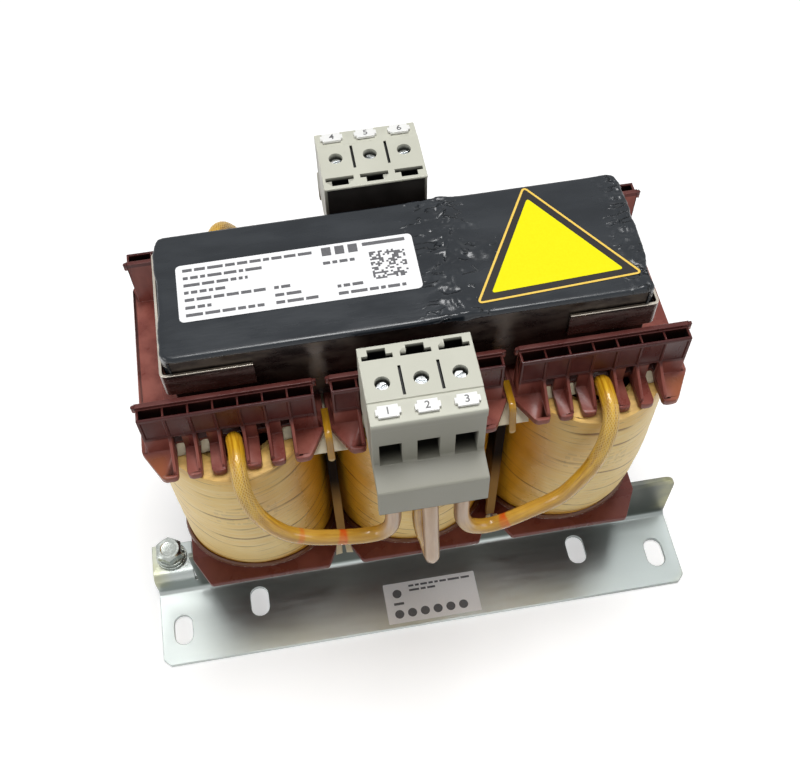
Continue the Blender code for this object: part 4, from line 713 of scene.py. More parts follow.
def bent_band(middle_x, face):
    """Bend one strip along its line, domed across and round at its tip."""
    form = bmesh.new()
    bmesh.ops.create_grid(form, x_segments=8, y_segments=BAND_STEPS, size=1.0)
    lengths = [0.0]
    for start, end in zip(BAND_LINE, BAND_LINE[1:]):
        lengths.append(lengths[-1] + math.dist(start, end))
    total = lengths[-1]
    for vert in form.verts:
        across_band, run = vert.co.x, (vert.co.y + 1.0) / 2.0 * total
        part = max(index for index, length in enumerate(lengths[:-1]) if length <= run + 0.0000001)
        share = (run - lengths[part]) / (lengths[part + 1] - lengths[part])
        line_y = BAND_LINE[part][0] + (BAND_LINE[part + 1][0] - BAND_LINE[part][0]) * share
        line_z = BAND_LINE[part][1] + (BAND_LINE[part + 1][1] - BAND_LINE[part][1]) * share
        to_tip = (total - run) / BAND_HALF_WIDTH
        width = BAND_HALF_WIDTH * (math.sqrt(max(1.0 - (1.0 - to_tip) ** 2, 0.02)) if to_tip < 1.0 else 1.0)
        dome = BAND_DOME * (1.0 - across_band ** 2)
        vert.co = (middle_x + across_band * width, face * (line_y + dome * 0.6), line_z + dome * 0.8)
    bmesh.ops.recalc_face_normals(form, faces=form.faces)
    return form


for side, middle_x in (("left", -COIL_PITCH / 2), ("right", COIL_PITCH / 2)):
    for face_name, face in (("front", -1), ("rear", 1)):
        walled(fitted("bent_band_" + face_name + "_" + side, bent_band(middle_x, face), band_finish,
                      "band_amber", "barrier_band_" + face_name + "_" + side, angle=70.0), BAND_THICKNESS)

# The feet are folded from zinc-coated sheet 2 mm thick, with punched slots.
# The zinc has a fine spangle, dull greenish edges and a few rubbed streaks.
zinc_finish = Finish("zinc_sheet", (0.66, 0.70, 0.68), 0.28, 1.0)
spot = zinc_finish.place()
zinc_x, zinc_y, zinc_z = axes(spot)
spangle = cloud(spot, 420.0, 4.0, 0.65)
zinc_cloud = cloud(spot, 38.0, 4.0)
zinc_streak = cloud(stretch(spot, 1.0, 9.0, 9.0), 60.0, 3.0)
chromate = (ease(zinc_z, 0.0265, 0.0312) + ease(abs(zinc_x), 0.100, 0.109)
            * ease(zinc_z, 0.004, 0.010) + ease(zinc_x - zinc_y, 0.160, 0.169)
            ) * ease(zinc_cloud, 0.35, 0.6)
zinc_color = tint(spangle * 0.4 + zinc_streak * 0.6, (0.49, 0.53, 0.515), (0.57, 0.61, 0.595))
# Painted shade and dark reflection: the zinc is darker toward its right part and a little at its left end.
zinc_color = tint(ease(zinc_x, 0.030, 0.090) * 0.72, zinc_color, (0.20, 0.225, 0.22))
zinc_color = tint(ease(zinc_x, -0.045, -0.075) * 0.35, zinc_color, (0.30, 0.33, 0.32))
# Painted shade: the upright faces, under the bobbins' flanges, are darkened.
shaded_upright = ease(zinc_z, 0.0022, 0.0050) * ease(zinc_x, -0.0935, -0.0900)
zinc_color = tint(shaded_upright * 0.9, zinc_color, (0.125, 0.130, 0.115))
zinc_finish.show(
    color=tint(zinc_finish.math("MINIMUM", chromate, 1.0) * 0.6, zinc_color, (0.44, 0.43, 0.24)),
    roughness=ease(spangle * 0.3 + zinc_streak * 0.7, 0.35, 0.65, 0.33, 0.38),
    normal=relief(spangle, 0.000004, 0.1))
for node in ("foot_bracket_front", "foot_bracket_rear"):
    soften(fitted("folded_" + node, merged(node), zinc_finish, "zinc_sheet", node), width=0.0003)

# A silvery label is stuck on the front foot. It is printed with a round mark,
# short bars and a row of dots in dull ink.
FOOT_LABEL = (-0.0162, -0.0570, 0.0228, -0.0391)
FOOT_LABEL_LIFT = 0.00205
LABEL_FILM = 0.00008
PRINT_LIFT = 0.00002
WORD_LENGTHS = (0.0012, 0.0052)
WORD_GAP = 0.0007
SHORTEST_REST = 0.0008
DOT_RADIUS = 0.0019
DOT_STEP = 0.0054


def thickened(form, thickness):
    """Raise a flat form to a plate."""
    top = bmesh.ops.extrude_face_region(form, geom=list(form.faces))["geom"]
    bmesh.ops.translate(form, vec=(0.0, 0.0, thickness),
                        verts=[part for part in top if isinstance(part, bmesh.types.BMVert)])
    bmesh.ops.recalc_face_normals(form, faces=form.faces)
    return form


def bar(form, x, y, width, depth, height):
    """Lay one flat bar, from its left end, at a height."""
    flat = bmesh.ops.create_grid(form, x_segments=1, y_segments=1, size=0.5)["verts"]
    bmesh.ops.scale(form, vec=(width, depth, 1.0), verts=flat)
    bmesh.ops.translate(form, vec=(x + width / 2, y, height), verts=flat)


def label_plate(low_x, low_y, high_x, high_y, height, corner, thickness=LABEL_FILM):
    """Cut a label with round corners and lay it flat at a height."""
    form = bmesh.new()
    bar(form, low_x, (low_y + high_y) / 2, high_x - low_x, high_y - low_y, height)
    bmesh.ops.bevel(form, geom=list(form.verts), offset=corner, segments=5, profile=0.5, affect="VERTICES",
                    material=-1)
    return thickened(form, thickness)


def dot(form, x, y, radius, height):
    """Print one round dot on a label."""
    bmesh.ops.create_circle(form, cap_ends=True, segments=20, radius=radius,
                            matrix=Matrix.Translation((x, y, height)))


def words(form, rows, depth, height, draw):
    """Print rows of short bars; each row is (x, y, length)."""
    for x, y, length in rows:
        end = x + length
        while x < end - SHORTEST_REST:
            width = min(draw.uniform(*WORD_LENGTHS), end - x)
            bar(form, x, y, width, depth, height)
            x += width + WORD_GAP


silver_finish = grained(Finish("silver_label", (0.92, 0.91, 0.91), 0.4, 0.0, 0.1), 1500.0, 2.0,
                        (0.90, 0.89, 0.89), (0.96, 0.95, 0.95), (0.00002, 0.3))
ink_finish = grained(Finish("dull_ink", (0.10, 0.10, 0.105), 0.5), 3000.0, 2.0, (0.08, 0.08, 0.085),
                     (0.17, 0.17, 0.175))
fitted("foot_label", label_plate(*FOOT_LABEL, FOOT_LABEL_LIFT, corner=0.0004), silver_finish, "tag_white")
foot_print = bmesh.new()
foot_top = FOOT_LABEL_LIFT + LABEL_FILM + PRINT_LIFT
words(foot_print, ((-0.0055, -0.0412, 0.026), (-0.0055, -0.0432, 0.012)), 0.0009, foot_top,
      random.Random(4))
bar(foot_print, -0.0128, -0.0485, 0.0042, 0.0011, foot_top)
dot(foot_print, -0.0108, -0.0440, DOT_RADIUS, foot_top)
for step in range(6):
    dot(foot_print, -0.0112 + DOT_STEP * step, -0.0531, DOT_RADIUS, foot_top)
fitted("foot_label_print", foot_print, ink_finish, "carrier_black")

# The earth bolt is an M6 hexagon bolt with a spring washer, a washer and a nut.
# All are bright zinc; the head has a turned face with a ring.
EARTH_X = -0.1012
EARTH_Y = -0.01605
HEAD_TOP = 0.0221
HEAD_FOOT = 0.0179
HEAD_HALF_FLATS = 0.005
HEAD_ROUND = 0.0043
SHANK_END = 0.0019
THREAD_PITCH = 0.001
THREAD_CREST = 0.0030
THREAD_ROOT = 0.0027
HEAD_RINGS = ((0.0028, -0.00022), (0.0031, -0.00018), (0.0034, 0.0), (HEAD_ROUND, 0.0), (None, None),
              (None, HEAD_FOOT - HEAD_TOP), (THREAD_CREST, HEAD_FOOT - HEAD_TOP))
bolt_finish = grained(Finish("bright_zinc", (0.58, 0.62, 0.61), 0.22, 1.0), 500.0, 4.0, (0.42, 0.45, 0.42),
                      (0.56, 0.59, 0.56), (0.00001, 0.15), (0.20, 0.32))
for node in ("earth_spring_washer", "earth_flat_washer", "earth_nut"):
    soften(fitted("bright_" + node, merged(node), bolt_finish, "bolt_zinc", node), width=0.00018)
bolt = bmesh.new()
bmesh.ops.create_circle(bolt, cap_ends=True, segments=72, radius=1.0)
edges = [edge for edge in bolt.edges if edge.is_boundary]
rings = [list(bolt.verts)]
for ring in range(1, len(HEAD_RINGS)):
    fresh, edges = drawn_out(bolt, edges)
    rings.append(list(fresh))
for (radius, drop), ring in zip(HEAD_RINGS, rings):
    for vert in ring:
        turn = math.atan2(vert.co.y, vert.co.x)
        to_flat = (turn + math.pi / 6) % (math.pi / 3) - math.pi / 6
        hexagon = HEAD_HALF_FLATS / math.cos(to_flat)
        reach = hexagon if radius is None else radius
        fall = -(hexagon - HEAD_ROUND) * 0.6 if drop is None else drop
        vert.co = (EARTH_X + math.cos(turn) * reach, EARTH_Y + math.sin(turn) * reach, HEAD_TOP + fall)
shank_height = HEAD_FOOT
shank_points = [bolt.verts.new((EARTH_X + THREAD_CREST, EARTH_Y, shank_height))]
while shank_height > SHANK_END + THREAD_PITCH:
    shank_height -= THREAD_PITCH / 2
    deep = THREAD_ROOT if len(shank_points) % 2 else THREAD_CREST
    shank_points.append(bolt.verts.new((EARTH_X + deep, EARTH_Y, shank_height)))
shank_points.append(bolt.verts.new((EARTH_X + 0.0024, EARTH_Y, SHANK_END)))
shank_points.append(bolt.verts.new((EARTH_X, EARTH_Y, SHANK_END)))
shank_edges = [bolt.edges.new(pair) for pair in zip(shank_points, shank_points[1:])]
bmesh.ops.spin(bolt, geom=shank_points + shank_edges, cent=(EARTH_X, EARTH_Y, 0.0), axis=(0.0, 0.0, 1.0),
               angle=2 * math.pi, steps=32, use_merge=True)
bmesh.ops.remove_doubles(bolt, verts=bolt.verts, dist=WELD)
bmesh.ops.recalc_face_normals(bolt, faces=bolt.faces)
fitted("bright_earth_bolt", bolt, bolt_finish, "bolt_zinc", "earth_bolt", angle=25.0)

# Black tape is drawn over the yoke in two lengths and shrunk on with heat.
# It is slack at both ends and crinkled where the right length laps the left one.
TAPE_TOP = 0.160
TAPE_HALF_X = 0.0765
TAPE_HALF_Y = 0.02455
TAPE_FOLD = 0.0012
TAPE_CORNER = 0.0042
TAPE_THICKNESS = 0.00042
FOLD_STEPS = 4
SKIRT_STEPS = 12
RATING_LABEL = (-0.0693, -0.0113, 0.0056, 0.0111)
KEYLINE_CORNERS = ((0.0202, -0.0207), (0.0732, -0.0181), (0.0450, 0.0242))
STEP_HEIGHT = 0.00055
CRINKLE_HEIGHT = 0.00105
CRINKLE_SIZE = 0.0036
TAPE_COLUMNS = 150
TAPE_ROWS = 58
TAPE_LIP = 0.0004
TAPE_DROP = 0.0118
TAPE_SPREAD = ((-1.0, -1.0), (-0.25, 0.105), (0.2, 0.48), (0.5, 0.76), (1.0, 1.0))
CLIP_TOP = 0.1533
SEAM = ((-0.0246, 0.0148), (-0.0137, 0.0137), (-0.0025, 0.0146), (0.0063, 0.0159), (0.0246, 0.0156))
LEFT_END = ((-0.0246, 0.0012), (-0.0227, 0.0002), (-0.0192, -0.0003), (-0.0127, 0.0002), (-0.0051, 0.0009),
            (0.0066, 0.0009), (0.0111, 0.0003), (0.0178, 0.0002), (0.0204, 0.0009), (0.0246, 0.0016))
RIGHT_END = ((-0.0246, 0.0004), (-0.0208, -0.0017), (-0.0171, -0.0016), (-0.0094, -0.0004),
             (-0.0012, -0.0002), (0.0053, 0.0003), (0.0113, 0.0), (0.0174, -0.0003), (0.0223, 0.0006),
             (0.0246, 0.0010))


def along(knots, value):
    """Read a smooth line through knots."""
    for (low, start), (high, end) in zip(knots, knots[1:]):
        if value <= high:
            share = min(max((value - low) / (high - low), 0.0), 1.0)
            return start + (end - start) * share * share * (3 - 2 * share)
    return knots[-1][1]


def straight(knots, value):
    """Read a straight-jointed line through knots."""
    for (low, start), (high, end) in zip(knots, knots[1:]):
        if value <= high:
            return start + (end - start) * (value - low) / (high - low)
    return knots[-1][1]


def smooth(low, high, value):
    """Rise softly from 0 to 1."""
    share = min(max((value - low) / (high - low), 0.0), 1.0)
    return share * share * (3 - 2 * share)


def band(start, full, ebb, end, value):
    """Rise softly from 0 to 1 between start and full, and fall again between ebb and end."""
    return smooth(start, full, value) * (1.0 - smooth(ebb, end, value))


def hump(offset, width):
    """Give 1 at no offset and less and less beside it."""
    return math.exp(-(offset / width) ** 2)


def crinkle(x, y, size, seed):
    """Give sharp folds, 0 to 1."""
    first = noise.noise(Vector((x / size, y / size * 0.8, seed)))
    second = noise.noise(Vector((x / size * 2.1, y / size * 1.9, seed + 7.0)))
    return (1.0 - abs(first) * 2.2) * 0.65 + (1.0 - abs(second) * 2.2) * 0.35


def outside_triangle(corners, x, y):
    """Distance of a place from a triangle's sides, below 0 inside it."""
    distances = []
    for (start_x, start_y), (end_x, end_y) in zip(corners, corners[1:] + corners[:1]):
        run = Vector((end_x - start_x, end_y - start_y)).normalized()
        distances.append((x - start_x) * run.y - (y - start_y) * run.x)
    return max(distances)


def tape_slack(x, y):
    """Height of the slack tape above the flat; it lies flat under the labels."""
    beyond = x - along(SEAM, y)
    step = band(-0.0003, 0.0004, 0.0006, 0.0110, beyond) * STEP_HEIGHT
    folds = (hump(beyond, 0.0042) + 0.8 * hump(y - 0.0005, 0.0038) * band(0.012, 0.018, 0.030, 0.040, x)
             + 0.5 * hump(y - 0.0115, 0.0016) * band(0.012, 0.018, 0.024, 0.030, x)
             + 0.55 * smooth(0.064, 0.073, x) + 0.45 * hump(x - 0.009, 0.0040))
    low_x, low_y, high_x, high_y = RATING_LABEL
    off_label = max(low_x - x, x - high_x, low_y - y, y - high_y)
    free = smooth(0.0002, 0.0016, min(off_label, outside_triangle(KEYLINE_CORNERS, x, y)))
    return free * (step + CRINKLE_HEIGHT * min(folds, 1.0) * crinkle(x * 1.1, y * 1.3, CRINKLE_SIZE, 3.0))


flat_x = TAPE_HALF_X - TAPE_FOLD
flat_y = TAPE_HALF_Y - TAPE_FOLD
turn_radius = TAPE_CORNER - TAPE_FOLD
tape = bmesh.new()
bmesh.ops.create_grid(tape, x_segments=TAPE_COLUMNS, y_segments=TAPE_ROWS, size=1.0)
outward = {}
for vert in tape.verts:
    x = straight(TAPE_SPREAD, vert.co.x) * flat_x
    y = vert.co.y * flat_y
    u = (abs(x) - (flat_x - turn_radius)) / turn_radius
    v = (abs(y) - (flat_y - turn_radius)) / turn_radius
    way = Vector((math.copysign(1.0, x), 0.0)) if u > v else Vector((0.0, math.copysign(1.0, y)))
    if u > 0.0 and v > 0.0:
        shrink = max(u, v) / math.hypot(u, v)
        u, v = u * shrink, v * shrink
        x = math.copysign(flat_x - turn_radius + turn_radius * u, x)
        y = math.copysign(flat_y - turn_radius + turn_radius * v, y)
        way = Vector((math.copysign(u, x), math.copysign(v, y))).normalized()
    vert.co = (x, y, TAPE_TOP)
    outward[vert] = (Vector((x, y)), way)
edges = [edge for edge in tape.edges if edge.is_boundary]
for row in range(1, FOLD_STEPS + SKIRT_STEPS + 1):
    if row == FOLD_STEPS + 2:
        edges = [edge for edge in edges if all(abs(outward[vert][1].x) > 0.3 for vert in edge.verts)]
    fresh, edges = drawn_out(tape, edges)
    for vert in fresh:
        base, way = outward[rooted(vert, fresh)]
        outward[vert] = (base, way)
        turn = min(row / FOLD_STEPS, 1.0) * math.pi / 2
        skirt = max(row - FOLD_STEPS, 0)
        drop = TAPE_LIP + (TAPE_DROP - TAPE_LIP) * (skirt - 1) / (SKIRT_STEPS - 1) if skirt else 0.0
        vert.co.xy = base + way * TAPE_FOLD * math.sin(turn)
        vert.co.z = TAPE_TOP - TAPE_FOLD * (1.0 - math.cos(turn)) - drop
for vert in tape.verts:
    x, y, z = vert.co
    base, way = outward[vert]
    near_edge = smooth(0.60, 1.0, max(abs(x) - 0.070, 0.0) / 0.0065)
    slack = along(RIGHT_END if x > 0 else LEFT_END, y)
    if slack < 0.0:
        slack *= smooth(CLIP_TOP, 0.1572, z)
    lump = noise.noise(Vector((x * 60.0, y * 330.0, z * 170.0)))
    free = smooth(CLIP_TOP, 0.1560, z)
    vert.co.x -= math.copysign(slack * near_edge, x)
    vert.co.x += math.copysign(0.00030 * free * lump * smooth(0.074, 0.0755, abs(x)), x)
    vert.co.z += tape_slack(x, y) * smooth(TAPE_TOP - 0.0012, TAPE_TOP, z)
    if abs(way.y) > 0.7:
        lap_bulge = hump(x - along(SEAM, y) - 0.0015, 0.0022) * 0.0006
        vert.co.y += math.copysign((lap_bulge + 0.00012 * lump) * (1.0 - smooth(0.1590, 0.1600, z)), y)
bmesh.ops.recalc_face_normals(tape, faces=tape.faces)
if max(tape.faces, key=lambda face: abs(face.normal.z)).normal.z < 0.0:
    bmesh.ops.reverse_faces(tape, faces=tape.faces)
tape_finish = Finish("black_tape", (0.014, 0.016, 0.018), 0.26, 0.0, 0.05, 0.42)
spot = tape_finish.place()
tape_x, tape_y, tape_z = axes(spot)
tape_cloud = cloud(stretch(spot, 1.0, 3.0, 1.0), 45.0, 4.0)
tape_pull = cloud(stretch(spot, 1.0, 6.0, 1.0), 190.0, 4.0, 0.6)
shrunk = larger(ease(abs(tape_x - 0.0140), 0.012, 0.005), ease(tape_x, 0.066, 0.073))
tail_crease = ease(abs(tape_y - 0.0015), 0.0042, 0.0022) * zone(tape_x, 0.012, 0.016, 0.028, 0.036)
shrunk = larger(shrunk, tail_crease)
crease_cloud = cloud(stretch(spot, 0.75, 1.7, 1.0), 190.0, 1.0, 0.4)
crease_places = ease(cloud(spot, 170.0, 1.0), 0.47, 0.56)
crease = ease(abs(crease_cloud - 0.5), 0.040, 0.0) * crease_places
tape_color = tint(tape_cloud, (0.007, 0.010, 0.014), (0.016, 0.021, 0.027))
# Painted highlight: the rounded fold round the tape's edges is lighter.
lit_fold_rim = zone(tape_z, 0.1575, 0.1582, 0.1586, 0.1594)
tape_finish.show(
    color=tint(lit_fold_rim * 0.35, tape_color, (0.10, 0.11, 0.12)),
    roughness=ease(tape_cloud, 0.3, 0.7, 0.20, 0.34) - shrunk * 0.05,
    normal=relief(tape_pull * 0.10 + crease * shrunk * 2.2, 0.00036, 0.95))
yoke_tape = fitted("shrunk_yoke_tape", tape, tape_finish, "yoke_tape", "yoke_tape_left", "yoke_tape_right",
                   angle=60.0)
walled(yoke_tape, TAPE_THICKNESS, -1.0)

# A white paper label lies on the left of the tape. It is printed in grey with rows
# of short bars, three squares and a field of small squares.
LABEL_LIFT = 0.16010
SQUARE = 0.0007
SQUARES = 16
paper_finish = grained(Finish("white_label", (0.90, 0.90, 0.91), 0.38, 0.0, 0.1), 1800.0, 2.0,
                       (0.93, 0.93, 0.94), (0.97, 0.97, 0.98), (0.00002, 0.3))
fitted("rating_label", label_plate(*RATING_LABEL, LABEL_LIFT, corner=0.0016), paper_finish, "tag_white")
rating_print = bmesh.new()
rating_top = LABEL_LIFT + LABEL_FILM + PRINT_LIFT
rating_draw = random.Random(11)
words(rating_print, ((-0.0672, 0.0088, 0.042), (-0.0672, 0.0057, 0.025), (-0.0672, 0.0028, 0.020),
                     (-0.0672, -0.0001, 0.014), (-0.0672, -0.0030, 0.025), (-0.0672, -0.0060, 0.008),
                     (-0.0672, -0.0089, 0.024), (-0.0396, -0.0030, 0.005), (-0.0396, -0.0060, 0.009),
                     (-0.0396, -0.0089, 0.013), (-0.0203, -0.0060, 0.008), (-0.0203, -0.0089, 0.021),
                     (-0.0235, 0.0038, 0.010)), 0.0012, rating_top, rating_draw)
for place in (-0.0234, -0.0192, -0.0150):
    bar(rating_print, place, 0.0084, 0.0030, 0.0034, rating_top)
bar(rating_print, -0.0104, 0.0092, 0.0136, 0.0014, rating_top)
for column in range(SQUARES):
    for row in range(SQUARES):
        if rating_draw.random() < 0.5:
            bar(rating_print, -0.0088 + column * SQUARE, -0.0051 + row * SQUARE, SQUARE, SQUARE, rating_top)
print_finish = grained(Finish("grey_print", (0.16, 0.16, 0.17), 0.5), 2500.0, 2.0, (0.060, 0.060, 0.065),
                       (0.15, 0.15, 0.16))
fitted("rating_label_print", rating_print, print_finish, "carrier_black")

# A triangular label of black film is stuck on the right of the tape.
# It is printed with a yellow field and a thin yellow line along its edge.
FIELD_CORNERS = ((0.0256, -0.0173), (0.0676, -0.0154), (0.0450, 0.0185))
KEYLINE_WIDTH = 0.0007
KEYLINE_RADIUS = 0.0022
FIELD_RADIUS = 0.0012
FILM_THICKNESS = 0.00004
yellow_finish = grained(Finish("yellow_print", (0.90, 0.80, 0.005), 0.34, 0.0, 0.0, 0.15), 1400.0, 2.0,
                        (0.90, 0.80, 0.003), (0.95, 0.88, 0.010), (0.00002, 0.3))
pale_line_finish = grained(Finish("pale_yellow_line", (0.90, 0.58, 0.08), 0.34), 1400.0, 2.0,
                           (0.88, 0.52, 0.04), (0.94, 0.70, 0.16))
black_film_finish = grained(Finish("black_label_film", (0.016, 0.012, 0.010), 0.42, 0.0, 0.0, 0.3),
                            1400.0, 2.0, (0.012, 0.009, 0.008), (0.020, 0.016, 0.014))


def triangle_plate(corners, radius, height, line=0.0):
    """Cut a triangular label with round corners, or only a line along its edge."""
    form = bmesh.new()
    form.faces.new([form.verts.new((*corner, height)) for corner in corners])
    bmesh.ops.bevel(form, geom=list(form.verts), offset=radius, segments=6, profile=0.5, affect="VERTICES",
                    material=-1)
    if line > 0.0:
        field = form.faces[:]
        bmesh.ops.inset_region(form, faces=field, thickness=line, use_even_offset=True, use_boundary=True)
        bmesh.ops.delete(form, geom=field, context="FACES")
    return thickened(form, FILM_THICKNESS)


line_lift = LABEL_LIFT + FILM_THICKNESS
fitted("triangle_film", triangle_plate(KEYLINE_CORNERS, KEYLINE_RADIUS, LABEL_LIFT), black_film_finish,
       "carrier_black")
fitted("triangle_line", triangle_plate(KEYLINE_CORNERS, KEYLINE_RADIUS, line_lift, KEYLINE_WIDTH),
       pale_line_finish, "tag_white")
fitted("triangle_field", triangle_plate(FIELD_CORNERS, FIELD_RADIUS, line_lift + FILM_THICKNESS),
       yellow_finish, "tag_white")

# The clips are bent from blued spring strip and grip the ends of the yoke.
# Their top and bottom edges are painted lighter as a highlight.
clip_finish = Finish("clip_steel", (0.20, 0.165, 0.15), 0.24, 0.95)
spot = clip_finish.place()
clip_z = axes(spot)[2]
clip_cloud = cloud(stretch(spot, 1.0, 1.0, 5.0), 90.0, 4.0)
# Painted highlight on the top and bottom edges of each clip.
clip_highlight_rim = larger(ease(clip_z, 0.15245, 0.15275), ease(clip_z, 0.14335, 0.14305))
clip_color = tint(clip_cloud, (0.15, 0.12, 0.11), (0.27, 0.225, 0.205))
clip_finish.show(color=tint(clip_highlight_rim * 0.8, clip_color, (0.72, 0.66, 0.56)),
                 roughness=ease(clip_cloud, 0.3, 0.7, 0.18, 0.34),
                 normal=relief(clip_cloud, 0.00006, 0.5))
for side in ("left", "right"):
    soften(fitted("sprung_clip_" + side, merged("yoke_clip_" + side), clip_finish, "clip_steel",
                  "yoke_clip_" + side), width=0.00022)

# The two terminal blocks are moulded in pale grey plastic, three poles in one piece.
# Each hooks into a comb strip and has a black plate at its back.
FRONT_BLOCK_X = -0.0014
REAR_BLOCK_X = -0.0020
BLOCKS = (("front", FRONT_BLOCK_X, -1), ("rear", REAR_BLOCK_X, 1))
BLOCK_HALF_WIDTH = 0.0171
BLOCK_TOP = 0.1626
POLE_PITCH = 0.01145
SLIT_NEAR = 0.0401
SLIT_FAR = 0.0506
SLIT_HALF_WIDTH = 0.00025
SLIT_MARGIN = 0.0002
SLIT_DEEP = 0.0014
BLOCK_ROUND = 0.00028
LONG_EDGE = 0.030
TOUCHING = 0.00001
TEST_HOLE = (0.03325, 0.03705)
CHAMBER_HEIGHTS = (0.1383, 0.1491)
WALLS_INSIDE = 0.0163


def within(value, low, high):
    """Give 1 between two values and 0 outside them."""
    return (value > low) * (value < high)


block_finish = Finish("grey_terminal", (0.50, 0.50, 0.44), 0.42, 0.0, 0.0, 0.3)
spot = block_finish.place()
block_x, block_y, block_z = axes(spot)
block_cloud = cloud(spot, 70.0, 4.0)
block_grain = cloud(spot, 2400.0, 2.0)
block_out = abs(block_y)
block_across = abs(block_x - (FRONT_BLOCK_X + REAR_BLOCK_X) / 2)
between_walls = block_across < WALLS_INSIDE
slit_zone = within(block_out, SLIT_NEAR, SLIT_FAR)
# Painted shade: the test holes, screw holes, wire chambers and screw slits are darkened nearly to black.
in_test_hole = within(block_out, *TEST_HOLE) * ease(block_z, 0.16245, 0.1608)
in_screw_hole = slit_zone * ease(block_z, 0.1622, 0.1606)
in_chamber = ease(block_out, 0.0579, 0.0535) * (block_out > 0.0400) * within(block_z, *CHAMBER_HEIGHTS)
in_slit = (abs(block_across - POLE_PITCH / 2) < 0.0010) * slit_zone * ease(block_z, 0.16258, 0.1622)
hole_shade = larger(in_test_hole, larger(in_screw_hole * 0.9, in_chamber * 0.93)) * between_walls
hole_shade = larger(hole_shade, in_slit)
block_color = tint(block_cloud, (0.54, 0.54, 0.455), (0.62, 0.62, 0.53))
# Painted shade: the lower front of each block is darker.
shaded_low_front = ease(block_z, 0.1612, 0.1590) * ease(block_out, 0.050, 0.053)
block_color = tint(shaded_low_front * 0.7, block_color, (0.25, 0.24, 0.20))
handled = ease(cloud(spot, 260.0, 4.0, 0.7), 0.62, 0.80)
block_color = tint(handled * 0.22, block_color, (0.24, 0.23, 0.20))
block_finish.show(color=tint(hole_shade, block_color, (0.008, 0.008, 0.008)),
                  roughness=ease(block_cloud, 0.3, 0.7, 0.36, 0.48),
                  normal=relief(block_grain, 0.00004, 0.5))


def edged_block(node, low_x, high_x):
    """Give a terminal block round edges at its two ends and along its width."""
    form = copied(node)
    farthest = max(abs(vert.co.y) for vert in form.verts)
    inside = [edge for edge in form.edges if len(edge.link_faces) == 2 and any(
        all(abs(vert.co.x - end) < TOUCHING for face in edge.link_faces for vert in face.verts)
        for end in (low_x, high_x))]
    bmesh.ops.dissolve_edges(form, edges=inside, use_verts=False)
    chosen = []
    for edge in form.edges:
        if not edge.is_manifold or edge.calc_face_angle(0.0) < SHARP_ANGLE:
            continue
        at_end = any(all(abs(vert.co.x - end) < TOUCHING for vert in edge.verts)
                     for end in (low_x, high_x))
        if at_end or edge.calc_length() > LONG_EDGE:
            chosen.append(edge)
    bmesh.ops.bevel(form, geom=chosen, offset=BLOCK_ROUND, segments=3, profile=0.5, affect="EDGES",
                    clamp_overlap=False, material=-1)
    for vert in form.verts:
        vert.co.y = min(max(vert.co.y, -farthest), farthest)
    return form


for face, block_middle, side in BLOCKS:
    edged = edged_block("terminal_block_" + face, block_middle - BLOCK_HALF_WIDTH,
                        block_middle + BLOCK_HALF_WIDTH)
    fitted("moulded_block_" + face, edged, block_finish, "terminal_grey", "terminal_block_" + face,
           angle=9.0)
    near, far = sorted((side * (SLIT_NEAR + SLIT_MARGIN), side * (SLIT_FAR - SLIT_MARGIN)))
    for slit_name, offset in (("_left", -POLE_PITCH / 2), ("_right", POLE_PITCH / 2)):
        slit_x = block_middle + offset
        floor = label_plate(slit_x - SLIT_HALF_WIDTH, near, slit_x + SLIT_HALF_WIDTH, far,
                            BLOCK_TOP - SLIT_DEEP, corner=0.0001, thickness=0.0005)
        fitted("slit_floor_" + face + slit_name, floor, block_finish, "terminal_grey")

carrier_finish = grained(Finish("black_carrier", (0.020, 0.018, 0.017), 0.42), 160.0, 4.0,
                         (0.014, 0.013, 0.012), (0.034, 0.031, 0.028), (0.00004, 0.4), (0.34, 0.52))
for face in ("front", "rear"):
    dress("terminal_carrier_" + face, carrier_finish)

# Each pole has a square clamp cage of plated brass strip and a slotted nickel screw.
# The screws stand at the angles that they were tightened to.
cage_finish = grained(Finish("cage_metal", (0.62, 0.52, 0.30), 0.3, 1.0), 400.0, 4.0, (0.52, 0.42, 0.22),
                      (0.70, 0.60, 0.38), (0.00004, 0.5), (0.22, 0.42))
screw_finish = grained(Finish("nickel_screw", (0.66, 0.69, 0.71), 0.2, 1.0), 700.0, 4.0, (0.72, 0.75, 0.77),
                       (0.88, 0.90, 0.91), (0.00001, 0.2), (0.14, 0.32))
SCREW_TURNS = {"front": (24.0, -18.0, 31.0), "rear": (8.0, -35.0, 15.0)}
for face, turns in SCREW_TURNS.items():
    for number, degrees in enumerate(turns, 1):
        node = "terminal_screw_" + face + "_" + str(number)
        low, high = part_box(node)
        middle = (Vector(low) + Vector(high)) / 2
        turned_screw = merged(node)
        bmesh.ops.rotate(turned_screw, cent=middle, matrix=Matrix.Rotation(math.radians(degrees), 3, "Z"),
                         verts=turned_screw.verts)
        soften(fitted("tightened_screw_" + face + "_" + str(number), turned_screw, screw_finish,
                      "screw_nickel", node), width=0.00012)
        dress("clamp_cage_" + face + "_" + str(number), cage_finish)

# White plastic marker tags are clipped into the blocks over each pole.
# They are printed with the numbers 1 to 6.
TAG_OUT = 0.05525
TAG_HEIGHT = 0.162452
TAG_SLOPE = 0.08201
TAG_HALF_THICKNESS = 0.00045
NUMBER_HEIGHT = 0.0034
tag_finish = grained(Finish("white_tag", (0.86, 0.86, 0.84), 0.4), 1400.0, 2.0, (0.82, 0.82, 0.80),
                     (0.89, 0.89, 0.87), (0.00003, 0.4))


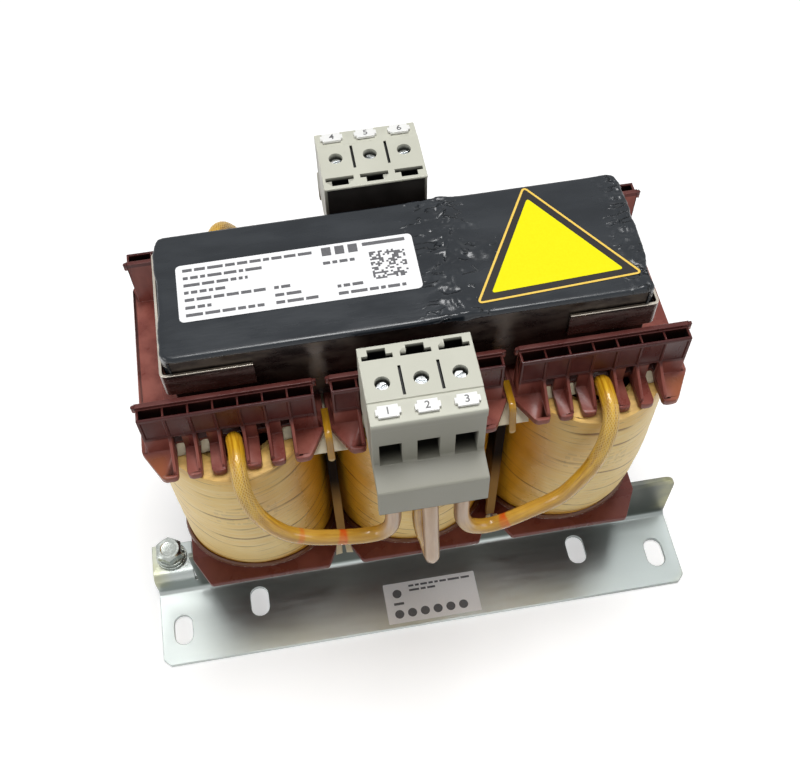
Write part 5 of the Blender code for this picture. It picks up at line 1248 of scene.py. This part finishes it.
def numeral(body, size, seat):
    """Draw a number, make it a mesh and lay it on its seat."""
    drawing = bpy.data.curves.new("numeral", "FONT")
    drawing.body = body
    drawing.size = size
    drawing.extrude = 0.00001
    drawing.offset = 0.00004
    drawing.align_x = "CENTER"
    drawing.align_y = "CENTER"
    drawn = bpy.data.objects.new("numeral", drawing)
    scene.collection.objects.link(drawn)
    graph = bpy.context.evaluated_depsgraph_get()
    mesh = bpy.data.meshes.new_from_object(drawn.evaluated_get(graph), depsgraph=graph)
    form = bmesh.new()
    form.from_mesh(mesh)
    form.transform(seat)
    bpy.data.objects.remove(drawn, do_unlink=True)
    bpy.data.meshes.remove(mesh)
    return form


for face, block_middle, side in BLOCKS:
    for number in range(3):
        tag_node = "marker_tag_" + face + "_" + str(number + 1)
        soften(fitted("clipped_tag_" + face + "_" + str(number + 1), merged(tag_node), tag_finish,
                      "tag_white", tag_node), width=0.00014)
        seat = (Matrix.Translation((block_middle + (number - 1) * POLE_PITCH, side * TAG_OUT, TAG_HEIGHT))
                @ Matrix.Rotation(-side * TAG_SLOPE, 4, "X")
                @ Matrix.Translation((0.0, 0.0, TAG_HALF_THICKNESS + PRINT_LIFT)))
        label_text = str(number + 1 if side < 0 else number + 4)
        fitted("tag_number_" + label_text, numeral(label_text, NUMBER_HEIGHT, seat), ink_finish,
               "carrier_black")

# The leads leave the coils in a woven sleeve of varnished glass fibre, and a clear
# amber sleeve is drawn over it. The front ones have red ink marks.
LEAD_RADIUS = 0.0027
LEAD_STEP = 0.0016
LEAD_SIDES = 20
ROUTE_PARTS = 12
STRANDS_ROUND = 18.0
STRANDS_ALONG = 760.0
LEAD_ROUTES = {
    "front_left": [
        (-0.0600, -0.0346, 0.1238), (-0.0600, -0.0347, 0.1272), (-0.0596, -0.0372, 0.1306),
        (-0.0592, -0.0420, 0.1320), (-0.0593, -0.0470, 0.1316), (-0.0592, -0.0510, 0.1284),
        (-0.0586, -0.0538, 0.1235), (-0.0572, -0.0554, 0.1176), (-0.0550, -0.0564, 0.1118),
        (-0.0516, -0.0570, 0.1054), (-0.0475, -0.0570, 0.0995), (-0.0405, -0.0570, 0.0946),
        (-0.0332, -0.0570, 0.0919), (-0.0258, -0.0570, 0.0899), (-0.0198, -0.0571, 0.0897),
        (-0.0160, -0.0576, 0.0920), (-0.0138, -0.0582, 0.0966), (-0.01285, -0.0585, 0.1045),
        (-0.01285, -0.0585, 0.1180), (-0.01285, -0.0585, 0.1337)],
    "front_middle": [
        (0.0000, -0.0346, 0.1238), (0.0000, -0.0347, 0.1272), (-0.0001, -0.0375, 0.1298),
        (-0.0004, -0.0425, 0.1306), (-0.0009, -0.0475, 0.1296), (-0.0016, -0.0520, 0.1256),
        (-0.0024, -0.0550, 0.1180), (-0.0032, -0.0560, 0.1080), (-0.0035, -0.0560, 0.0950),
        (-0.0026, -0.0560, 0.0840), (-0.0013, -0.0560, 0.0766), (-0.0008, -0.0569, 0.0744),
        (-0.0005, -0.0591, 0.0735), (-0.0003, -0.0613, 0.0744), (-0.0003, -0.0622, 0.0766),
        (-0.0007, -0.0622, 0.0900), (-0.0011, -0.0621, 0.1050), (-0.0013, -0.0612, 0.1160),
        (-0.0014, -0.0594, 0.1265), (-0.0014, -0.0592, 0.1337)],
    "front_right": [
        (0.0600, -0.0346, 0.1238), (0.0600, -0.0347, 0.1272), (0.0597, -0.0372, 0.1307),
        (0.0592, -0.0425, 0.1325), (0.0592, -0.0472, 0.1313), (0.0586, -0.0512, 0.1280),
        (0.0572, -0.0538, 0.1229), (0.0553, -0.0554, 0.1172), (0.0530, -0.0565, 0.1115),
        (0.0497, -0.0570, 0.1045), (0.0456, -0.0570, 0.0967), (0.0402, -0.0570, 0.0919),
        (0.0346, -0.0570, 0.0884), (0.0296, -0.0570, 0.0852), (0.0247, -0.0570, 0.0828),
        (0.0209, -0.0570, 0.0820), (0.0172, -0.0574, 0.0832), (0.0133, -0.0580, 0.0868),
        (0.0110, -0.0584, 0.0928), (0.01005, -0.0585, 0.1000), (0.01005, -0.0585, 0.1180),
        (0.01005, -0.0585, 0.1337)],
    "rear_left": [
        (-0.0600, 0.0346, 0.1238), (-0.0600, 0.0347, 0.1272), (-0.0598, 0.0372, 0.1304),
        (-0.0592, 0.0415, 0.1336), (-0.0577, 0.0462, 0.1347), (-0.0554, 0.0500, 0.1325),
        (-0.0529, 0.0530, 0.1270), (-0.0507, 0.0554, 0.1196), (-0.0485, 0.0566, 0.1120),
        (-0.0455, 0.0570, 0.1050), (-0.0410, 0.0570, 0.0985), (-0.0350, 0.0570, 0.0940),
        (-0.0290, 0.0570, 0.0915), (-0.0240, 0.0570, 0.0905), (-0.0195, 0.0572, 0.0912),
        (-0.0160, 0.0577, 0.0945), (-0.0141, 0.0583, 0.1010), (-0.01345, 0.0585, 0.1100),
        (-0.01345, 0.0585, 0.1220), (-0.01345, 0.0585, 0.1337)],
    "rear_middle": [
        (0.0000, 0.0346, 0.1238), (0.0000, 0.0347, 0.1272), (-0.0002, 0.0375, 0.1298),
        (-0.0006, 0.0425, 0.1306), (-0.0012, 0.0475, 0.1296), (-0.0018, 0.0520, 0.1256),
        (-0.0024, 0.0550, 0.1180), (-0.0030, 0.0560, 0.1080), (-0.0032, 0.0560, 0.0950),
        (-0.0028, 0.0560, 0.0840), (-0.0022, 0.0560, 0.0766), (-0.0020, 0.0569, 0.0744),
        (-0.0018, 0.0591, 0.0735), (-0.0017, 0.0613, 0.0744), (-0.0017, 0.0622, 0.0766),
        (-0.0018, 0.0622, 0.0900), (-0.0020, 0.0621, 0.1050), (-0.0020, 0.0612, 0.1160),
        (-0.0020, 0.0594, 0.1265), (-0.0020, 0.0592, 0.1337)],
    "rear_right": [
        (0.0600, 0.0346, 0.1238), (0.0600, 0.0347, 0.1270), (0.0597, 0.0372, 0.1298),
        (0.0592, 0.0425, 0.1311), (0.0590, 0.0472, 0.1300), (0.0583, 0.0512, 0.1268),
        (0.0569, 0.0538, 0.1229), (0.0549, 0.0554, 0.1172), (0.0525, 0.0565, 0.1115),
        (0.0490, 0.0570, 0.1045), (0.0448, 0.0570, 0.0967), (0.0394, 0.0570, 0.0919),
        (0.0338, 0.0570, 0.0884), (0.0288, 0.0570, 0.0852), (0.0240, 0.0570, 0.0828),
        (0.0202, 0.0570, 0.0820), (0.0165, 0.0574, 0.0832), (0.0126, 0.0580, 0.0868),
        (0.0103, 0.0584, 0.0928), (0.00945, 0.0585, 0.1000), (0.00945, 0.0585, 0.1180),
        (0.00945, 0.0585, 0.1337)],
}
RED_MARKS = {"front_left": ((0.0593, 0.45), (0.0748, 1.0)), "front_right": ((0.0817, 1.0),)}
PALE_FROM = {"left": 0.096, "middle": 0.078, "right": 0.106}


def smooth_route(route, step):
    """Give points every step along a smooth curve through a lead's own points."""
    knots = [Vector(point) for point in route]
    padded = [2 * knots[0] - knots[1]] + knots + [2 * knots[-1] - knots[-2]]
    dense = []
    for p0, p1, p2, p3 in zip(padded, padded[1:], padded[2:], padded[3:]):
        for part in range(ROUTE_PARTS):
            t = part / ROUTE_PARTS
            dense.append(0.5 * (2 * p1 + (p2 - p0) * t + (2 * p0 - 5 * p1 + 4 * p2 - p3) * t * t
                                + (3 * p1 - 3 * p2 + p3 - p0) * t * t * t))
    dense.append(knots[-1])
    length = sum((after - before).length for before, after in zip(dense, dense[1:]))
    count = round(length / step)
    points = [dense[0]]
    travelled = 0.0
    for before, after in zip(dense, dense[1:]):
        travelled += (after - before).length
        if travelled >= length * len(points) / count and len(points) < count:
            points.append(after)
    points.append(dense[-1])
    return points


def sleeve_finish(name, pale_from, marks):
    """Make the finish of one lead, which changes along its run."""
    finish = Finish(name, (0.56, 0.32, 0.05), 0.26, 0.0, 0.25, 0.4)
    run, turn = axes(finish.add("ShaderNodeTexCoord", {}, "UV"))[:2]
    spot = finish.place()
    fibre = cloud(joined(run * 70.0, turn * 13.0, 0.0), 1.0, 4.0, 0.6)
    blotch = cloud(spot, 130.0, 3.0)
    round_turn = turn * (STRANDS_ROUND * 2.0 * math.pi)
    along_run = run * (STRANDS_ALONG * 2.0 * math.pi)
    strand = larger(finish.math("SINE", round_turn + along_run),
                    finish.math("SINE", round_turn - along_run)) * 0.5 + 0.5
    braided = zone(run, 0.014, 0.022, 0.030, 0.044)
    color = tint(ease(fibre, 0.30, 0.70), (0.38, 0.155, 0.002), (0.82, 0.48, 0.030))
    stained = tint(blotch, (0.40, 0.19, 0.012), (0.66, 0.40, 0.09))
    color = tint(ease(run, 0.035, 0.060) * 0.7, color, stained)
    color = tint(braided * ease(strand, 0.45, 0.95) * 0.5, color, (0.84, 0.66, 0.27))
    pale = ease(run, pale_from - 0.010, pale_from + 0.006)
    color = tint(pale * 0.85, color, tint(fibre, (0.44, 0.29, 0.19), (0.60, 0.43, 0.31)))
    red = 0.0
    for mark, strength in marks:
        red = red + ease(abs(run - mark) + blotch * 0.0040, 0.0040, 0.0026) * strength
    if marks:
        color = tint(red * ease(blotch, 0.30, 0.62, 0.35, 0.90), color, (0.70, 0.050, 0.006))
    finish.show(color=color, roughness=ease(braided, 0.0, 1.0, 0.2, 0.42),
                normal=relief(fibre + braided * strand, 0.00022, 0.8))
    return finish


for name, route in LEAD_ROUTES.items():
    sleeve = sleeve_finish("sleeve_" + name, PALE_FROM[name.split("_")[1]], RED_MARKS.get(name, ()))
    drawn_lead = swept(smooth_route(route, LEAD_STEP), LEAD_RADIUS, LEAD_SIDES)
    fitted("sleeved_lead_" + name, drawn_lead, sleeve, "lead_sleeve", "lead_" + name)
